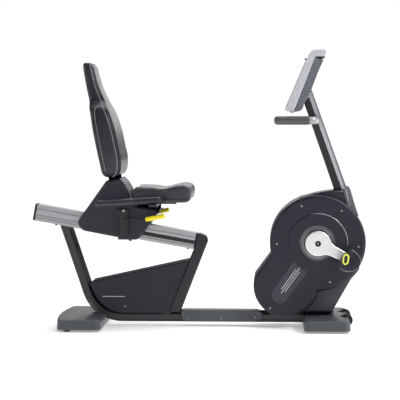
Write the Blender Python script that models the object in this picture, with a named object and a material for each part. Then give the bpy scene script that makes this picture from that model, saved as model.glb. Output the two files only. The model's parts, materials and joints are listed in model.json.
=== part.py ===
"""Recumbent exercise bike: a seat that slides along an inclined rail, and a pedal drive under a mast.

Metres, +Z up, +X towards the console, left of the rider at +Y.
The origin is on the floor, under the middle of the bike.
Outlines are written in millimetres, as (x, z) seen from the side or (x, y) seen from above.
"""
import math

import bmesh
import bpy
from mathutils import Vector

GAP = 0.0003

# Crank and drive
CRANK = Vector((0.606, 0.0, 0.434))
CRANK_LENGTH = 0.149
CRANK_ANGLE = math.radians(-26.7)
CRANK_INNER, CRANK_OUTER = 0.129, 0.153
HUB_RADIUS = 0.064
AXLE_RADIUS = 0.010
FLYWHEEL = Vector((0.443, 0.0, 0.219))
FLYWHEEL_RADIUS = 0.125
BIG_PULLEY, SMALL_PULLEY = 0.110, 0.024
BELT_LOW, BELT_HIGH = 0.047, 0.061

# Drive housing
DISC_RADIUS, LOBE_RADIUS = 0.241, 0.160
CORE_HALF_WIDTH, COVER_HALF_WIDTH = 0.080, 0.120
HOUSING_WALL = 0.0035
COLUMN_HALF_WIDTH = 0.055
MAST_HALF_WIDTH = 0.036

# Seat rail: rear end of its centre line, and its fall towards the front
RAIL_START = Vector((-0.82795, 0.0, 0.5816))
RAIL_SLOPE = math.radians(10.14)
RAIL_LENGTH = 0.8238
RAIL_HALF_HEIGHT, RAIL_HALF_WIDTH = 0.0423, 0.045

# Base
TUBE_HALF_WIDTH, TUBE_WALL = 0.030, 0.003
BEAM_LOW, BEAM_HIGH = 0.019, 0.080
BEAM_START, BEAM_END = -0.372, 0.690
FOOT_HALF_SPAN = 0.295
FOOT_LOW, FOOT_HIGH = 0.011, 0.062
WHEEL_RADIUS = 0.032
WHEEL_CENTRE = Vector((0.752, 0.0, 0.045))

# Seat
CARRIAGE_HALF_WIDTH = 0.120
HANDLE_SPREAD = 0.235
LEVER_PIVOT = Vector((-0.355, 0.0, 0.552))
LEVER_SPREAD = 0.165
ROLLER_RADIUS = 0.012

# Console
CONSOLE_HALF_WIDTH = 0.190
CONSOLE_TILT = math.atan2(0.105, 0.262)
BAR_HEIGHT = 1.050
BAR_SPREAD = 0.200
BAR_CROSS_X = 0.592
BAR_RADIUS = 0.0190

SMOOTH_ANGLE = math.radians(35)


# ---------------------------------------------------------------- helpers

def mm(*points):
    """Points in millimetres as points in metres."""
    return [tuple(value * 0.001 for value in point) for point in points]


def arc(centre, radius, start, end, steps):
    """Points on an arc, angles in degrees."""
    angles = [math.radians(start + (end - start) * i / steps) for i in range(steps + 1)]
    return [(centre[0] + radius * math.cos(a), centre[1] + radius * math.sin(a)) for a in angles]


def rounded(corners, radius, steps=4):
    """An outline with each corner rounded; radius is one number or one for each corner."""
    radii = radius if isinstance(radius, (list, tuple)) else [radius] * len(corners)
    points = []
    for i, corner in enumerate(corners):
        here = Vector(corner)
        back = (Vector(corners[i - 1]) - here).normalized()
        ahead = (Vector(corners[(i + 1) % len(corners)]) - here).normalized()
        half = back.angle(ahead) / 2
        if radii[i] == 0:
            points.append(tuple(here))
            continue
        centre = here + (back + ahead).normalized() * radii[i] / math.sin(half)
        first = here + back * radii[i] / math.tan(half) - centre
        turn = math.pi - 2 * half
        if first.x * ahead.y - first.y * ahead.x < 0:
            turn = -turn
        for k in range(steps + 1):
            angle = turn * k / steps
            x = first.x * math.cos(angle) - first.y * math.sin(angle)
            y = first.x * math.sin(angle) + first.y * math.cos(angle)
            points.append((centre.x + x, centre.y + y))
    return points


def counter_clockwise(outline):
    """The same outline, running counter-clockwise."""
    area = sum(a[0] * b[1] - b[0] * a[1] for a, b in zip(outline, outline[1:] + outline[:1]))
    return list(outline) if area > 0 else list(reversed(outline))


def inset(outline, distance):
    """A counter-clockwise outline moved inwards, its corners mitred."""
    if distance == 0:
        return outline
    moved = []
    for i, here in enumerate(outline):
        back = (Vector(here) - Vector(outline[i - 1])).normalized()
        ahead = (Vector(outline[(i + 1) % len(outline)]) - Vector(here)).normalized()
        left = Vector((-back.y, back.x))
        right = Vector((-ahead.y, ahead.x))
        shift = (left + right) * distance / (1 + left.dot(right))
        moved.append((here[0] + shift.x, here[1] + shift.y))
    return moved


def side(u, v, height):
    """Places a side view point (x, z) at a distance y across the bike."""
    return (u, height, v)


def plan(u, v, height):
    """Places a top view point (x, y) at a height z."""
    return (u, v, height)


def on_rail(y, height, distance):
    """Places a point of the rail's cross-section (y, height) at a distance along the rail."""
    x = RAIL_START.x + distance * math.cos(RAIL_SLOPE) + height * math.sin(RAIL_SLOPE)
    z = RAIL_START.z - distance * math.sin(RAIL_SLOPE) + height * math.cos(RAIL_SLOPE)
    return (x, y, z)


def rail_distance(x):
    """Distance along the rail's centre line at which it reaches x."""
    return (x - RAIL_START.x) / math.cos(RAIL_SLOPE)


def build(name, bm, material):
    """Makes an object from a closed bmesh, its faces pointing out."""
    bmesh.ops.recalc_face_normals(bm, faces=bm.faces)
    mesh = bpy.data.meshes.new(name)
    bm.to_mesh(mesh)
    bm.free()
    mesh.shade_smooth()
    mesh.set_sharp_from_angle(angle=SMOOTH_ANGLE)
    if material:
        mesh.materials.append(material)
    obj = bpy.data.objects.new(name, mesh)
    bpy.context.scene.collection.objects.link(obj)
    return obj


def bridge(name, loops, material, bored=False):
    """Joins loops of equally many points into one skin; the ends are capped, or joined if bored."""
    bm = bmesh.new()
    rings = [[bm.verts.new(point) for point in loop] for loop in loops]
    pairs = list(zip(rings, rings[1:]))
    if bored:
        pairs.append((rings[-1], rings[0]))
    else:
        bm.faces.new(list(reversed(rings[0])))
        bm.faces.new(rings[-1])
    for lower, upper in pairs:
        for i, corner in enumerate(lower):
            j = (i + 1) % len(lower)
            bm.faces.new((corner, lower[j], upper[j], upper[i]))
    return build(name, bm, material)


def stack(name, outline, levels, material, place=side):
    """A solid from one outline repeated at several (inset, height) levels."""
    outline = counter_clockwise(outline)
    loops = [[place(u, v, height) for u, v in inset(outline, step)] for step, height in levels]
    return bridge(name, loops, material)


def prism(name, outline, low, high, material, place=side, chamfer=0.0):
    """An outline extruded from low to high, with an optional chamfer around both faces."""
    levels = [(0, low), (0, high)]
    if chamfer:
        levels = [(chamfer, low), (0, low + chamfer), (0, high - chamfer), (chamfer, high)]
    return stack(name, outline, levels, material, place)


def shell(name, outline, mouth, face, wall, material, place=side, chamfer=0.0):
    """A cover open at its mouth and closed at its face, with one wall thickness all over."""
    away = 1 if face > mouth else -1
    levels = [(wall, face - away * wall), (wall, mouth), (0, mouth)]
    if chamfer:
        levels += [(0, face - away * chamfer), (chamfer * 0.3, face - away * chamfer * 0.3), (chamfer, face)]
    else:
        levels += [(0, face)]
    return stack(name, outline, levels, material, place)


def turned(name, profile, centre, material, segments=32, bored=False):
    """A body of revolution about an axis along Y; the profile holds (radius, y) points."""
    loops = []
    for radius, y in profile:
        angles = [2 * math.pi * i / segments for i in range(segments)]
        loops.append([(centre.x + radius * math.cos(a), y, centre.z + radius * math.sin(a)) for a in angles])
    return bridge(name, loops, material, bored)


def carried(path, section, up):
    """A closed section carried along a path; up is the direction of the section's second coordinate."""
    loops = []
    for i, point in enumerate(path):
        before = Vector(path[max(i - 1, 0)])
        after = Vector(path[min(i + 1, len(path) - 1)])
        tangent = (after - before).normalized()
        across = tangent.cross(up).normalized()
        upright = across.cross(tangent).normalized()
        loops.append([Vector(point) + across * a + upright * b for a, b in section])
    return loops


def swept(name, path, section, up, material):
    """A solid bar along a path."""
    return bridge(name, carried(path, section, up), material)


def tube(name, path, section, wall, up, material, end_on=None):
    """A hollow tube along a path, open at both ends; end_on is a plane's point and normal for its last end."""
    outer = carried(path, section, up)
    inner = carried(path, inset(counter_clockwise(section), wall), up)
    if end_on:
        point, normal = end_on
        along = (Vector(path[-1]) - Vector(path[-2])).normalized()
        for loops in (outer, inner):
            loops[-1] = [p + along * ((point - p).dot(normal) / along.dot(normal)) for p in loops[-1]]
    return bridge(name, outer + list(reversed(inner)), material, bored=True)


def circle(radius, segments=16):
    """A round section."""
    angles = [2 * math.pi * i / segments for i in range(segments)]
    return [(radius * math.cos(a), radius * math.sin(a)) for a in angles]


def capsule(name, start, end, radius, material, segments=16):
    """A round bar with domed ends."""
    axis = (Vector(end) - Vector(start)).normalized()
    path, sections = [], []
    for turn in (12, 40, 70, 90):
        shrink = math.sin(math.radians(turn))
        path.append(Vector(start) + axis * radius * (1 - math.cos(math.radians(turn))))
        sections.append(circle(radius * shrink, segments))
    for turn in (90, 70, 40, 12):
        shrink = math.sin(math.radians(turn))
        path.append(Vector(end) - axis * radius * (1 - math.cos(math.radians(turn))))
        sections.append(circle(radius * shrink, segments))
    up = Vector((0, 0, 1)) if abs(axis.z) < 0.9 else Vector((1, 0, 0))
    across = axis.cross(up).normalized()
    upright = across.cross(axis)
    loops = [[p + across * a + upright * b for a, b in ring] for p, ring in zip(path, sections)]
    return bridge(name, loops, material)


def block(name, low, high, material=None):
    """A plain box between two corners."""
    outline = [(low[0], low[1]), (high[0], low[1]), (high[0], high[1]), (low[0], high[1])]
    return prism(name, outline, low[2], high[2], material, plan)


def apply_boolean(target, tool, operation):
    """Adds a Boolean with a hidden tool object."""
    tool.hide_render = True
    tool.display_type = "WIRE"
    modifier = target.modifiers.new(tool.name, "BOOLEAN")
    modifier.operation = operation
    modifier.object = tool


def cut(target, *tools):
    for tool in tools:
        apply_boolean(target, tool, "DIFFERENCE")


def add(target, *tools):
    for tool in tools:
        apply_boolean(target, tool, "UNION")


def bore(name, centre, radius, low, high, segments=24):
    """A cylinder along Y that drills a hole."""
    return turned(name, [(radius, low), (radius, high)], centre, None, segments)


def pivot(name, position, parent=None):
    """An empty on a joint's axis."""
    empty = bpy.data.objects.new(name, None)
    empty.empty_display_size = 0.03
    empty.location = position
    if parent:
        empty.parent = parent
        empty.location = position - world_place(parent)
    bpy.context.scene.collection.objects.link(empty)
    return empty


def world_place(empty):
    """World position of an unrotated empty."""
    place = empty.location.copy()
    while empty.parent:
        empty = empty.parent
        place += empty.location
    return place


def hang(holder, *objects):
    """Parents pieces to a joint's empty without moving them."""
    for obj in objects:
        obj.parent = holder
        obj.location = -world_place(holder)


def paint(name, colour, roughness, metallic=0.0):
    """A Principled material."""
    material = bpy.data.materials.new(name)
    material.use_nodes = True
    shader = material.node_tree.nodes["Principled BSDF"]
    shader.inputs["Base Color"].default_value = (*colour, 1.0)
    shader.inputs["Roughness"].default_value = roughness
    shader.inputs["Metallic"].default_value = metallic
    return material


# ---------------------------------------------------------------- base

def make_base(black, grey, plastic):
    """The bent rear upright, the base beam, the front post and their covers."""
    bend_radius = 0.180
    lean = math.radians(18.7)
    beam_middle = (BEAM_LOW + BEAM_HIGH) / 2
    bend_centre = (-0.3936, beam_middle + bend_radius)
    bend = arc(bend_centre, bend_radius, -90, -180 + math.degrees(lean), 8)
    reach = 0.330
    top = (bend[-1][0] - reach * math.sin(lean), bend[-1][1] + reach * math.cos(lean))
    path = [(x, 0, z) for x, z in [(BEAM_START, beam_middle)] + bend + [top]]
    across = Vector((0, 1, 0))
    half_depth = (BEAM_HIGH - BEAM_LOW) / 2
    corners = [(-half_depth, -TUBE_HALF_WIDTH), (half_depth, -TUBE_HALF_WIDTH),
               (half_depth, TUBE_HALF_WIDTH), (-half_depth, TUBE_HALF_WIDTH)]
    section = counter_clockwise(rounded(corners, 0.012, 2))
    under_rail = Vector(on_rail(0, -RAIL_HALF_HEIGHT - GAP, 0))
    rail_normal = Vector(on_rail(0, 1, 0)) - Vector(on_rail(0, 0, 0))
    tube("rear_upright", path, section, TUBE_WALL, across, black, (under_rail, rail_normal))

    tube("base_beam", [(BEAM_START + GAP, 0, beam_middle), (BEAM_END, 0, beam_middle)], section, TUBE_WALL,
         across, black)

    post = mm((-150, 80.5), (-87, 80.5), (51, 436), (48, 455), (32, 469), (-8, 477), (-23.5, 394),
              (-48, 337))
    front_post = prism("front_post", post, -0.034, 0.034, black, chamfer=0.005)
    inside = mm((-150, 60), (-98, 60), (38, 425), (10, 440), (-10, 400), (-42, 337))
    cut(front_post, prism("cut_front_post", inside, -0.030, 0.030, None))

    rear_edge = arc((bend_centre[0] + 0.012, bend_centre[1]), bend_radius - 0.020, -95, -150, 4)
    panel = list(reversed(rear_edge)) + mm((-389, 66), (-158, 66), (-50, 336), (-552, 225))
    for name, mouth, face in (("panel_right", -0.0305, -0.0405), ("panel_left", 0.0305, 0.0405)):
        away = 1 if face > 0 else -1
        mouth += away * GAP
        levels = [(0, mouth), (0, face - away * 0.003), (0.003, face)]
        stack(name, panel, levels, plastic)

    cover = rounded(mm((-86, 27), (262, 27), (334, 60), (300, 83.5), (-86, 83.5)),
                    [0.022, 0.03, 0.012, 0.02, 0.004], 3)
    base_cover = prism("base_cover", cover, -0.0415, 0.0415, grey, chamfer=0.003)
    cut(base_cover, block("cut_beam_cover", (-0.2, -0.0309, 0.0), (0.5, 0.0309, BEAM_HIGH + GAP)))


def foot_outline(rear, front, bow, corner):
    """A foot seen from above: a cross bar with rounded corners, its rear edge bowed out in the middle."""
    span = FOOT_HALF_SPAN
    corners = [(rear, -span), (front, -span), (front, span), (rear, span)]
    radii = [corner] * 4
    if bow:
        corners += [(rear - bow * (1 - share * share), span * share) for share in (0.5, 0.0, -0.5)]
        radii += [0.0] * 3
    return rounded(corners, radii, 4)


def make_feet(grey, rubber):
    """Two hollow feet around the beam, four levelling pads and the wheels' bays."""
    wall, crown = 0.004, 0.010
    feet = {"rear_foot": (-0.689, -0.474, 0.024, (-0.545, -0.460)),
            "front_foot": (0.534, 0.765, 0.0, (0.525, 0.6905))}
    for name, (rear, front, bow, slot) in feet.items():
        outline = foot_outline(rear, front, bow, 0.035)
        foot = shell(name, outline, FOOT_LOW, FOOT_HIGH, wall, grey, plan, crown)
        cut(foot, block("cut_" + name, (slot[0], -0.0312, 0.0), (slot[1], 0.0312, 0.1)))
        if name == "front_foot":
            for y in (-0.1, 0.1):
                cut(foot, block("cut_wheel_bay", (0.716, y - 0.0165, 0.0), (0.80, y + 0.0165, 0.1)))
    pads = {"rear_right": (-0.645, -0.255), "rear_left": (-0.645, 0.255),
            "front_right": (0.600, -0.185), "front_left": (0.600, 0.185)}
    pad_levels = [(0.002, 0.0), (0.0, 0.002), (0.0, 0.007), (0.006, FOOT_LOW + 0.030)]
    for name, (x, y) in pads.items():
        outline = [(x + a, y + b) for a, b in circle(0.016, 12)]
        stack("leveller_" + name, outline, pad_levels, rubber, plan)


def make_wheels(rubber):
    """Two transport wheels with their stub axles, each on its own joint."""
    for name, y in (("transport_wheel_right", -0.1), ("transport_wheel_left", 0.1)):
        half = 0.013
        profile = [(0.004, y - half - 0.002), (0.010, y - half - 0.002), (0.010, y - half),
                   (WHEEL_RADIUS - 0.004, y - half), (WHEEL_RADIUS, y - half + 0.004),
                   (WHEEL_RADIUS, y + half - 0.004), (WHEEL_RADIUS - 0.004, y + half),
                   (0.010, y + half), (0.010, y + half + 0.002), (0.004, y + half + 0.002)]
        wheel = turned(name, profile, WHEEL_CENTRE, rubber, 18)
        hang(pivot(name + "_axis", Vector((WHEEL_CENTRE.x, y, WHEEL_CENTRE.z))), wheel)


# ---------------------------------------------------------------- rail

def make_rail(aluminium, plastic):
    """The hollow grooved rail, its rear cap and the toothed adjustment rack in its right side."""
    groove = 0.003
    half_groove = 0.0022
    right = [(-RAIL_HALF_WIDTH, RAIL_HALF_HEIGHT)]
    for middle in (0.0195, -0.0120, -0.0255):
        right += [(-RAIL_HALF_WIDTH, middle + half_groove),
                  (-RAIL_HALF_WIDTH + groove, middle + half_groove * 0.6),
                  (-RAIL_HALF_WIDTH + groove, middle - half_groove * 0.6),
                  (-RAIL_HALF_WIDTH, middle - half_groove)]
    right.append((-RAIL_HALF_WIDTH, -RAIL_HALF_HEIGHT))
    outline = right + [(-y, h) for y, h in reversed(right)]
    rail = prism("seat_rail", outline, 0.0, RAIL_LENGTH, aluminium, on_rail)
    hollow = mm((-30, 36), (30, 36), (30, -36), (-30, -36))
    cut(rail, prism("cut_rail_hollow", hollow, -0.05, RAIL_LENGTH + 0.05, None, on_rail))

    rack_low, rack_high = -0.0160, 0.0030
    rack_start = rail_distance(-0.585)
    slot = [(-0.05, rack_low), (-0.0360, rack_low), (-0.0360, rack_high), (-0.05, rack_high)]
    cut(rail, prism("cut_rack_slot", slot, rack_start, RAIL_LENGTH + 0.05, None, on_rail))
    make_rack(rack_start + GAP, RAIL_LENGTH - GAP, rack_low + GAP, rack_high - GAP, plastic)

    cap_outline = rounded([(-0.046, -0.0435), (0.046, -0.0435), (0.046, 0.0435), (-0.046, 0.0435)], 0.006, 2)
    stack("rail_end_cap", cap_outline, [(0.003, -0.012), (0, -0.009), (0, -GAP)], plastic, on_rail)


def make_rack(start, end, low, high, material):
    """A strip with square teeth pointing out of the rail's right side."""
    pitch, root, tip = 0.0280, -0.0400, -0.0445
    teeth = int((end - start) / pitch)
    edge = [(start, -0.0363), (start, root)]
    for i in range(teeth):
        base = start + pitch * (i + 0.25)
        edge += [(base, root), (base, tip), (base + pitch * 0.5, tip), (base + pitch * 0.5, root)]
    edge += [(end, root), (end, -0.0363)]
    prism("adjust_rack", edge[1:] + [edge[0]], low, high, material, lambda s, y, h: on_rail(y, h, s))


# ---------------------------------------------------------------- drive and housing

def disc_arc(start, end, steps, radius=DISC_RADIUS):
    return arc((CRANK.x, CRANK.z), radius, start, end, steps)


def lobe_arc(start, end, steps, radius=LOBE_RADIUS):
    return arc((FLYWHEEL.x, FLYWHEEL.z), radius, start, end, steps)


# Angles, in degrees, where the disc and the lobe meet: under the crank, and at the waist
DISC_FOOT, DISC_WAIST = -91.2, 193.3
LOBE_WAIST, LOBE_FOOT = 159.4, 350.7


def make_housing(plastic, cover_plastic):
    """Two half shells around the drive, a raised cover on each side and the column under them."""
    shoulder = mm((743, 699), (686, 699), (593, 685), (522, 665))
    outline = disc_arc(DISC_FOOT, 49.0, 18) + shoulder + disc_arc(127.5, DISC_WAIST, 9)
    outline += lobe_arc(LOBE_WAIST, LOBE_FOOT - 2, 16)
    panel = disc_arc(DISC_FOOT, DISC_WAIST, 38) + lobe_arc(LOBE_WAIST, LOBE_FOOT - 2, 18)
    for name, away in (("right", -1), ("left", 1)):
        half = shell("housing_" + name, outline, away * GAP, away * CORE_HALF_WIDTH, HOUSING_WALL, plastic)
        cut(half, block("cut_beam_housing_" + name, (0.2, -0.0309, 0.0), (0.7, 0.0309, BEAM_HIGH + GAP)),
            bore("cut_axle_housing_" + name, CRANK, 0.030, away * 0.05, away * 0.1))
        back = away * (CORE_HALF_WIDTH + GAP)
        cover = shell("side_cover_" + name, panel, back, away * COVER_HALF_WIDTH, HOUSING_WALL, cover_plastic,
                      chamfer=0.010)
        face = away * COVER_HALF_WIDTH
        raised = turned("raised_disc_" + name, [(0.150, face - away * 0.002), (0.150, face + away * 0.002),
                                                (0.146, face + away * 0.005)], CRANK, None, 40)
        add(cover, raised)
        dish = turned("cut_dish_" + name, [(0.022, face - away * 0.05), (0.022, face + away * 0.0005),
                                           (0.068, face + away * 0.0005), (0.090, face + away * 0.0052),
                                           (0.090, face + away * 0.02)], CRANK, None, 24)
        cut(cover, dish)

    front = [(0.683, BEAM_HIGH + GAP)]
    column = disc_arc(DISC_FOOT, -29.3, 8, DISC_RADIUS + GAP) + front + [(0.5445, BEAM_HIGH + GAP)]
    column += lobe_arc(-47.0, LOBE_FOOT - 360 - 2, 4, LOBE_RADIUS + 0.0006)
    post = prism("front_column", column, -COLUMN_HALF_WIDTH, COLUMN_HALF_WIDTH, plastic, chamfer=0.006)
    hollow = mm((625, 60), (672, 60), (760, 225), (648, 186), (580, 110), (566, 60))
    cut(post, prism("cut_column_hollow", hollow, -0.048, 0.048, None))


def make_drive_frame(steel):
    """A plate that stands on the beam and carries the crank and flywheel bearings."""
    outline = mm((385, 80.3), (505, 80.3), (500, 180), (640, 390), (655, 450), (725, 600), (715, 680),
                 (670, 680), (660, 610), (570, 470), (560, 420), (410, 250), (405, 180))
    plate = prism("drive_frame", outline, -0.006, 0.006, steel)
    add(plate, bore("crank_boss", CRANK, 0.028, -0.040, 0.040),
        bore("flywheel_boss", FLYWHEEL, 0.020, -0.010, 0.030))
    cut(plate, bore("cut_crank_bearing", CRANK, AXLE_RADIUS + 0.0004, -0.1, 0.1),
        bore("cut_flywheel_bearing", FLYWHEEL, 0.0084, -0.1, 0.1))


def make_brake(steel):
    """A magnet block that follows a sixth of the flywheel's rim."""
    middle = (FLYWHEEL.x, FLYWHEEL.z)
    outline = arc(middle, 0.129, 95, 155, 8) + arc(middle, 0.147, 155, 95, 8)
    prism("brake_magnet", outline, -0.046, -0.010, steel)


def belt_loop(extra):
    """The belt's line: two circles and the straight runs between them."""
    offset = FLYWHEEL - CRANK
    heading = math.degrees(math.atan2(offset.z, offset.x))
    spread = math.degrees(math.acos((BIG_PULLEY - SMALL_PULLEY) / offset.length))
    loop = arc((CRANK.x, CRANK.z), BIG_PULLEY + extra, heading + spread, heading + 360 - spread, 28)
    loop += arc((FLYWHEEL.x, FLYWHEEL.z), SMALL_PULLEY + extra, heading - spread, heading + spread, 10)
    return counter_clockwise(loop)


def make_drive(steel, rubber, silver, black, dark_metal):
    """Crank axle with the large pulley, belt, flywheel with the small pulley, cranks and pedals."""
    inner = [side(u, v, BELT_LOW) for u, v in belt_loop(GAP)]
    outer = [side(u, v, BELT_LOW) for u, v in belt_loop(0.0033)]
    top_outer = [(x, BELT_HIGH, z) for x, y, z in outer]
    top_inner = [(x, BELT_HIGH, z) for x, y, z in inner]
    bridge("drive_belt", [inner, outer, top_outer, top_inner], rubber, bored=True)

    crank_axis = pivot("crank_axis", CRANK)
    end = 0.146
    axle = turned("crank_axle", [(AXLE_RADIUS, -end), (AXLE_RADIUS, 0.043), (0.030, 0.043), (0.030, 0.046),
                                 (BIG_PULLEY, 0.046), (BIG_PULLEY, 0.062), (0.030, 0.062), (0.030, 0.066),
                                 (AXLE_RADIUS, 0.066), (AXLE_RADIUS, end)], CRANK, dark_metal, 24)
    hang(crank_axis, axle)

    wheel = turned("flywheel", [(0.008, -0.050), (0.034, -0.050), (0.034, -0.044), (FLYWHEEL_RADIUS, -0.042),
                                (FLYWHEEL_RADIUS, -0.014), (0.034, -0.012), (0.008, -0.012), (0.008, 0.046),
                                (SMALL_PULLEY, 0.046), (SMALL_PULLEY, 0.062), (0.008, 0.062), (0.008, 0.068)],
                   FLYWHEEL, dark_metal, 24)
    hang(pivot("flywheel_axis", FLYWHEEL), wheel)

    for name, away, turn in (("right", -1, 0.0), ("left", 1, math.pi)):
        make_crank_side(name, away, CRANK_ANGLE + turn, crank_axis, silver, black)


def crank_outline():
    """A crank seen from its side, pointing along +x: a round hub that narrows to a square end."""
    root, end_half, end = 38.0, 0.0235, CRANK_LENGTH + 0.017
    outline = arc((0, 0), HUB_RADIUS, root, 360 - root, 20)
    lower = [(0.064, -0.0335), (0.080, -0.0290), (end, -end_half)]
    return outline + lower + [(x, -z) for x, z in reversed(lower)]


def turn_about(points, centre, angle):
    """Side view points turned about the origin and moved to a centre."""
    c, s = math.cos(angle), math.sin(angle)
    return [(centre.x + x * c - z * s, centre.z + x * s + z * c) for x, z in points]


def make_crank_side(name, away, angle, crank_axis, silver, black):
    """One crank with its pedal and strap."""
    low, high = sorted((away * CRANK_INNER, away * CRANK_OUTER))
    crank = prism("crank_" + name, turn_about(crank_outline(), CRANK, angle), low, high, silver, chamfer=0.003)
    cut(crank, bore("cut_crank_" + name, CRANK, AXLE_RADIUS + 0.0004, low - 0.01, high + 0.01, 20))
    hang(crank_axis, crank)

    spindle = CRANK + Vector((math.cos(angle), 0, math.sin(angle))) * CRANK_LENGTH
    pedal_axis = pivot("pedal_" + name + "_axis", spindle, crank_axis)
    pedal_tilt = math.radians(54)
    tread = [(-0.052, -0.010), (-0.030, -0.0145), (0.030, -0.0145), (0.052, -0.010),
             (0.052, 0.010), (0.030, 0.0145), (-0.030, 0.0145), (-0.052, 0.010)]
    inner, outer = away * (CRANK_OUTER + 0.011), away * 0.268
    low, high = sorted((inner, outer))
    pedal = prism("pedal_" + name, turn_about(tread, spindle, pedal_tilt), low, high, black, chamfer=0.003)
    near, far = sorted((away * (CRANK_OUTER + GAP), inner + away * 0.005))
    add(pedal, bore("pedal_collar_" + name, spindle, 0.011, near, far, 16))

    wide_in, wide_out = away * 0.188, away * 0.246
    inner_line = [(-0.0525, 0.0), (-0.0525, -0.012), (-0.0475, -0.036), (-0.024, -0.064), (0.010, -0.074),
                  (0.040, -0.060), (0.0525, -0.026), (0.0525, 0.0)]
    outer_line = [(-0.0555, 0.0), (-0.0555, -0.012), (-0.0505, -0.038), (-0.026, -0.0675), (0.0105, -0.0775),
                  (0.042, -0.063), (0.0555, -0.028), (0.0555, 0.0)]
    strap_line = turn_about(outer_line + list(reversed(inner_line)), spindle, pedal_tilt)
    low, high = sorted((wide_in, wide_out))
    strap = prism("pedal_strap_" + name, strap_line, low, high, black)
    hang(pedal_axis, pedal, strap)


# ---------------------------------------------------------------- mast, bar and console

# The console's back, where the top of the mast meets it
CONSOLE_BACK_EDGE = mm((527, 1110), (533, 1133), (550, 1163), (566, 1194), (626, 1358))


def make_mast(silver, plastic):
    """The silver mast that runs on as a spine down the front of the housing, and its rear cover."""
    top = mm((574.5, 1205), (559, 1171))
    spine = mm((743.6, 700), (764.6, 618)) + list(reversed(disc_arc(33, 48, 4, DISC_RADIUS + 0.0006)))
    outer = mm((815.5, 565), (795, 622), (772, 701), (765, 716), (750.5, 718.5))
    outline = top + mm((728.5, 702)) + spine + outer
    mast = prism("mast", outline, -MAST_HALF_WIDTH, MAST_HALF_WIDTH, silver, chamfer=0.002)
    cover = mm((558.3, 1170), (537.6, 1137.5), (688, 708), (688, 700.5), (727.5, 700.5))
    rear = prism("mast_rear_cover", cover, -MAST_HALF_WIDTH + 0.003, MAST_HALF_WIDTH - 0.003, plastic,
                 chamfer=0.004)
    bar = Vector((BAR_CROSS_X, 0, BAR_HEIGHT))
    for piece in (mast, rear):
        cut(piece, bore("cut_bar_" + piece.name, bar, BAR_RADIUS + GAP, -0.1, 0.1))


def make_handlebar(silver, rubber):
    """One bar through the mast that turns back towards the rider on both sides, with a grip on each end."""
    turn, grip_end = 0.030, 0.385
    bend = arc((BAR_CROSS_X - turn, -(BAR_SPREAD - turn)), turn, -90, 0, 5)
    half = [(grip_end + 0.02, -BAR_SPREAD)] + bend
    path = [(x, y, BAR_HEIGHT) for x, y in half] + [(x, -y, BAR_HEIGHT) for x, y in reversed(half)]
    swept("handlebar", path, circle(BAR_RADIUS, 14), Vector((0, 0, 1)), silver)
    for name, y in (("right", -BAR_SPREAD), ("left", BAR_SPREAD)):
        grip = [(0.0055, 0.385), (0.0150, 0.3885), (0.0205, 0.396), (0.0215, 0.406), (0.0215, 0.556),
                (0.0200, 0.560), (0.0193, 0.560), (0.0193, 0.4045)]
        loops = [[(x, y + a, BAR_HEIGHT + b) for a, b in circle(r, 14)] for r, x in grip]
        bridge("hand_grip_" + name, loops, rubber)


def console_point(along, deep):
    """A side view point on the console: along its front face from the bottom, and deep into it."""
    c, s = math.cos(CONSOLE_TILT), math.sin(CONSOLE_TILT)
    return (0.449 + along * s + deep * c, 1.102 + along * c - deep * s)


def make_console(silver, grey, glass, button_black, button_green):
    """A silver front frame with a hooked top, a grey back shell, a display and two keys."""
    bezel = mm((438, 1101), (550, 1366), (571, 1398), (617, 1402), (640, 1398), (644, 1392), (636, 1366.5),
               (588, 1366.5), (481, 1091))
    frame = prism("console_bezel", bezel, -CONSOLE_HALF_WIDTH, CONSOLE_HALF_WIDTH, silver, chamfer=0.003)
    face = [console_point(*p) for p in ((0.012, -0.03), (0.270, -0.03), (0.270, 0.0), (0.012, 0.0))]
    cut(frame, prism("cut_face", face, -0.176, 0.176, None))
    window = [console_point(*p) for p in ((0.075, -0.01), (0.262, -0.01), (0.262, 0.008), (0.075, 0.008))]
    cut(frame, prism("cut_window", window, -0.160, 0.160, None))
    pane = [console_point(*p) for p in ((0.0755, 0.002), (0.2615, 0.002), (0.2615, 0.0076), (0.0755, 0.0076))]
    prism("console_screen", pane, -0.1595, 0.1595, glass)

    back = mm((483, 1092.5), (515, 1098)) + CONSOLE_BACK_EDGE + mm((588.5, 1365.2))
    shell_half = CONSOLE_HALF_WIDTH - 0.004
    rear = prism("console_back", back, -shell_half, shell_half, grey, chamfer=0.006)
    hollow = mm((460, 1101), (509, 1103), (520, 1112), (527, 1136), (545, 1168), (559, 1198), (617, 1354),
                (570, 1362))
    cut(rear, prism("cut_console_back", hollow, -shell_half + 0.004, shell_half - 0.004, None))

    for name, y, material in (("key_minus", -0.045, button_black), ("key_plus", 0.045, button_green)):
        place = console_point(0.036, 0.0)
        centre = Vector((place[0], y, place[1]))
        out = Vector((-math.cos(CONSOLE_TILT), 0, math.sin(CONSOLE_TILT)))
        cut(frame, key_body("cut_" + name, centre - out * 0.008, centre + out * 0.01, 0.0125, None))
        key = key_body(name, centre - out * 0.0055, centre + out * 0.0025, 0.0120, material)
        hang(pivot(name + "_axis", centre), key)


def key_body(name, start, end, radius, material):
    """A short round key between two points."""
    axis = (end - start).normalized()
    across = Vector((0, 1, 0))
    upright = across.cross(axis)
    loops = [[p + across * a + upright * b for a, b in circle(radius, 20)] for p in (start, end)]
    return bridge(name, loops, material)


# ---------------------------------------------------------------- seat

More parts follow.
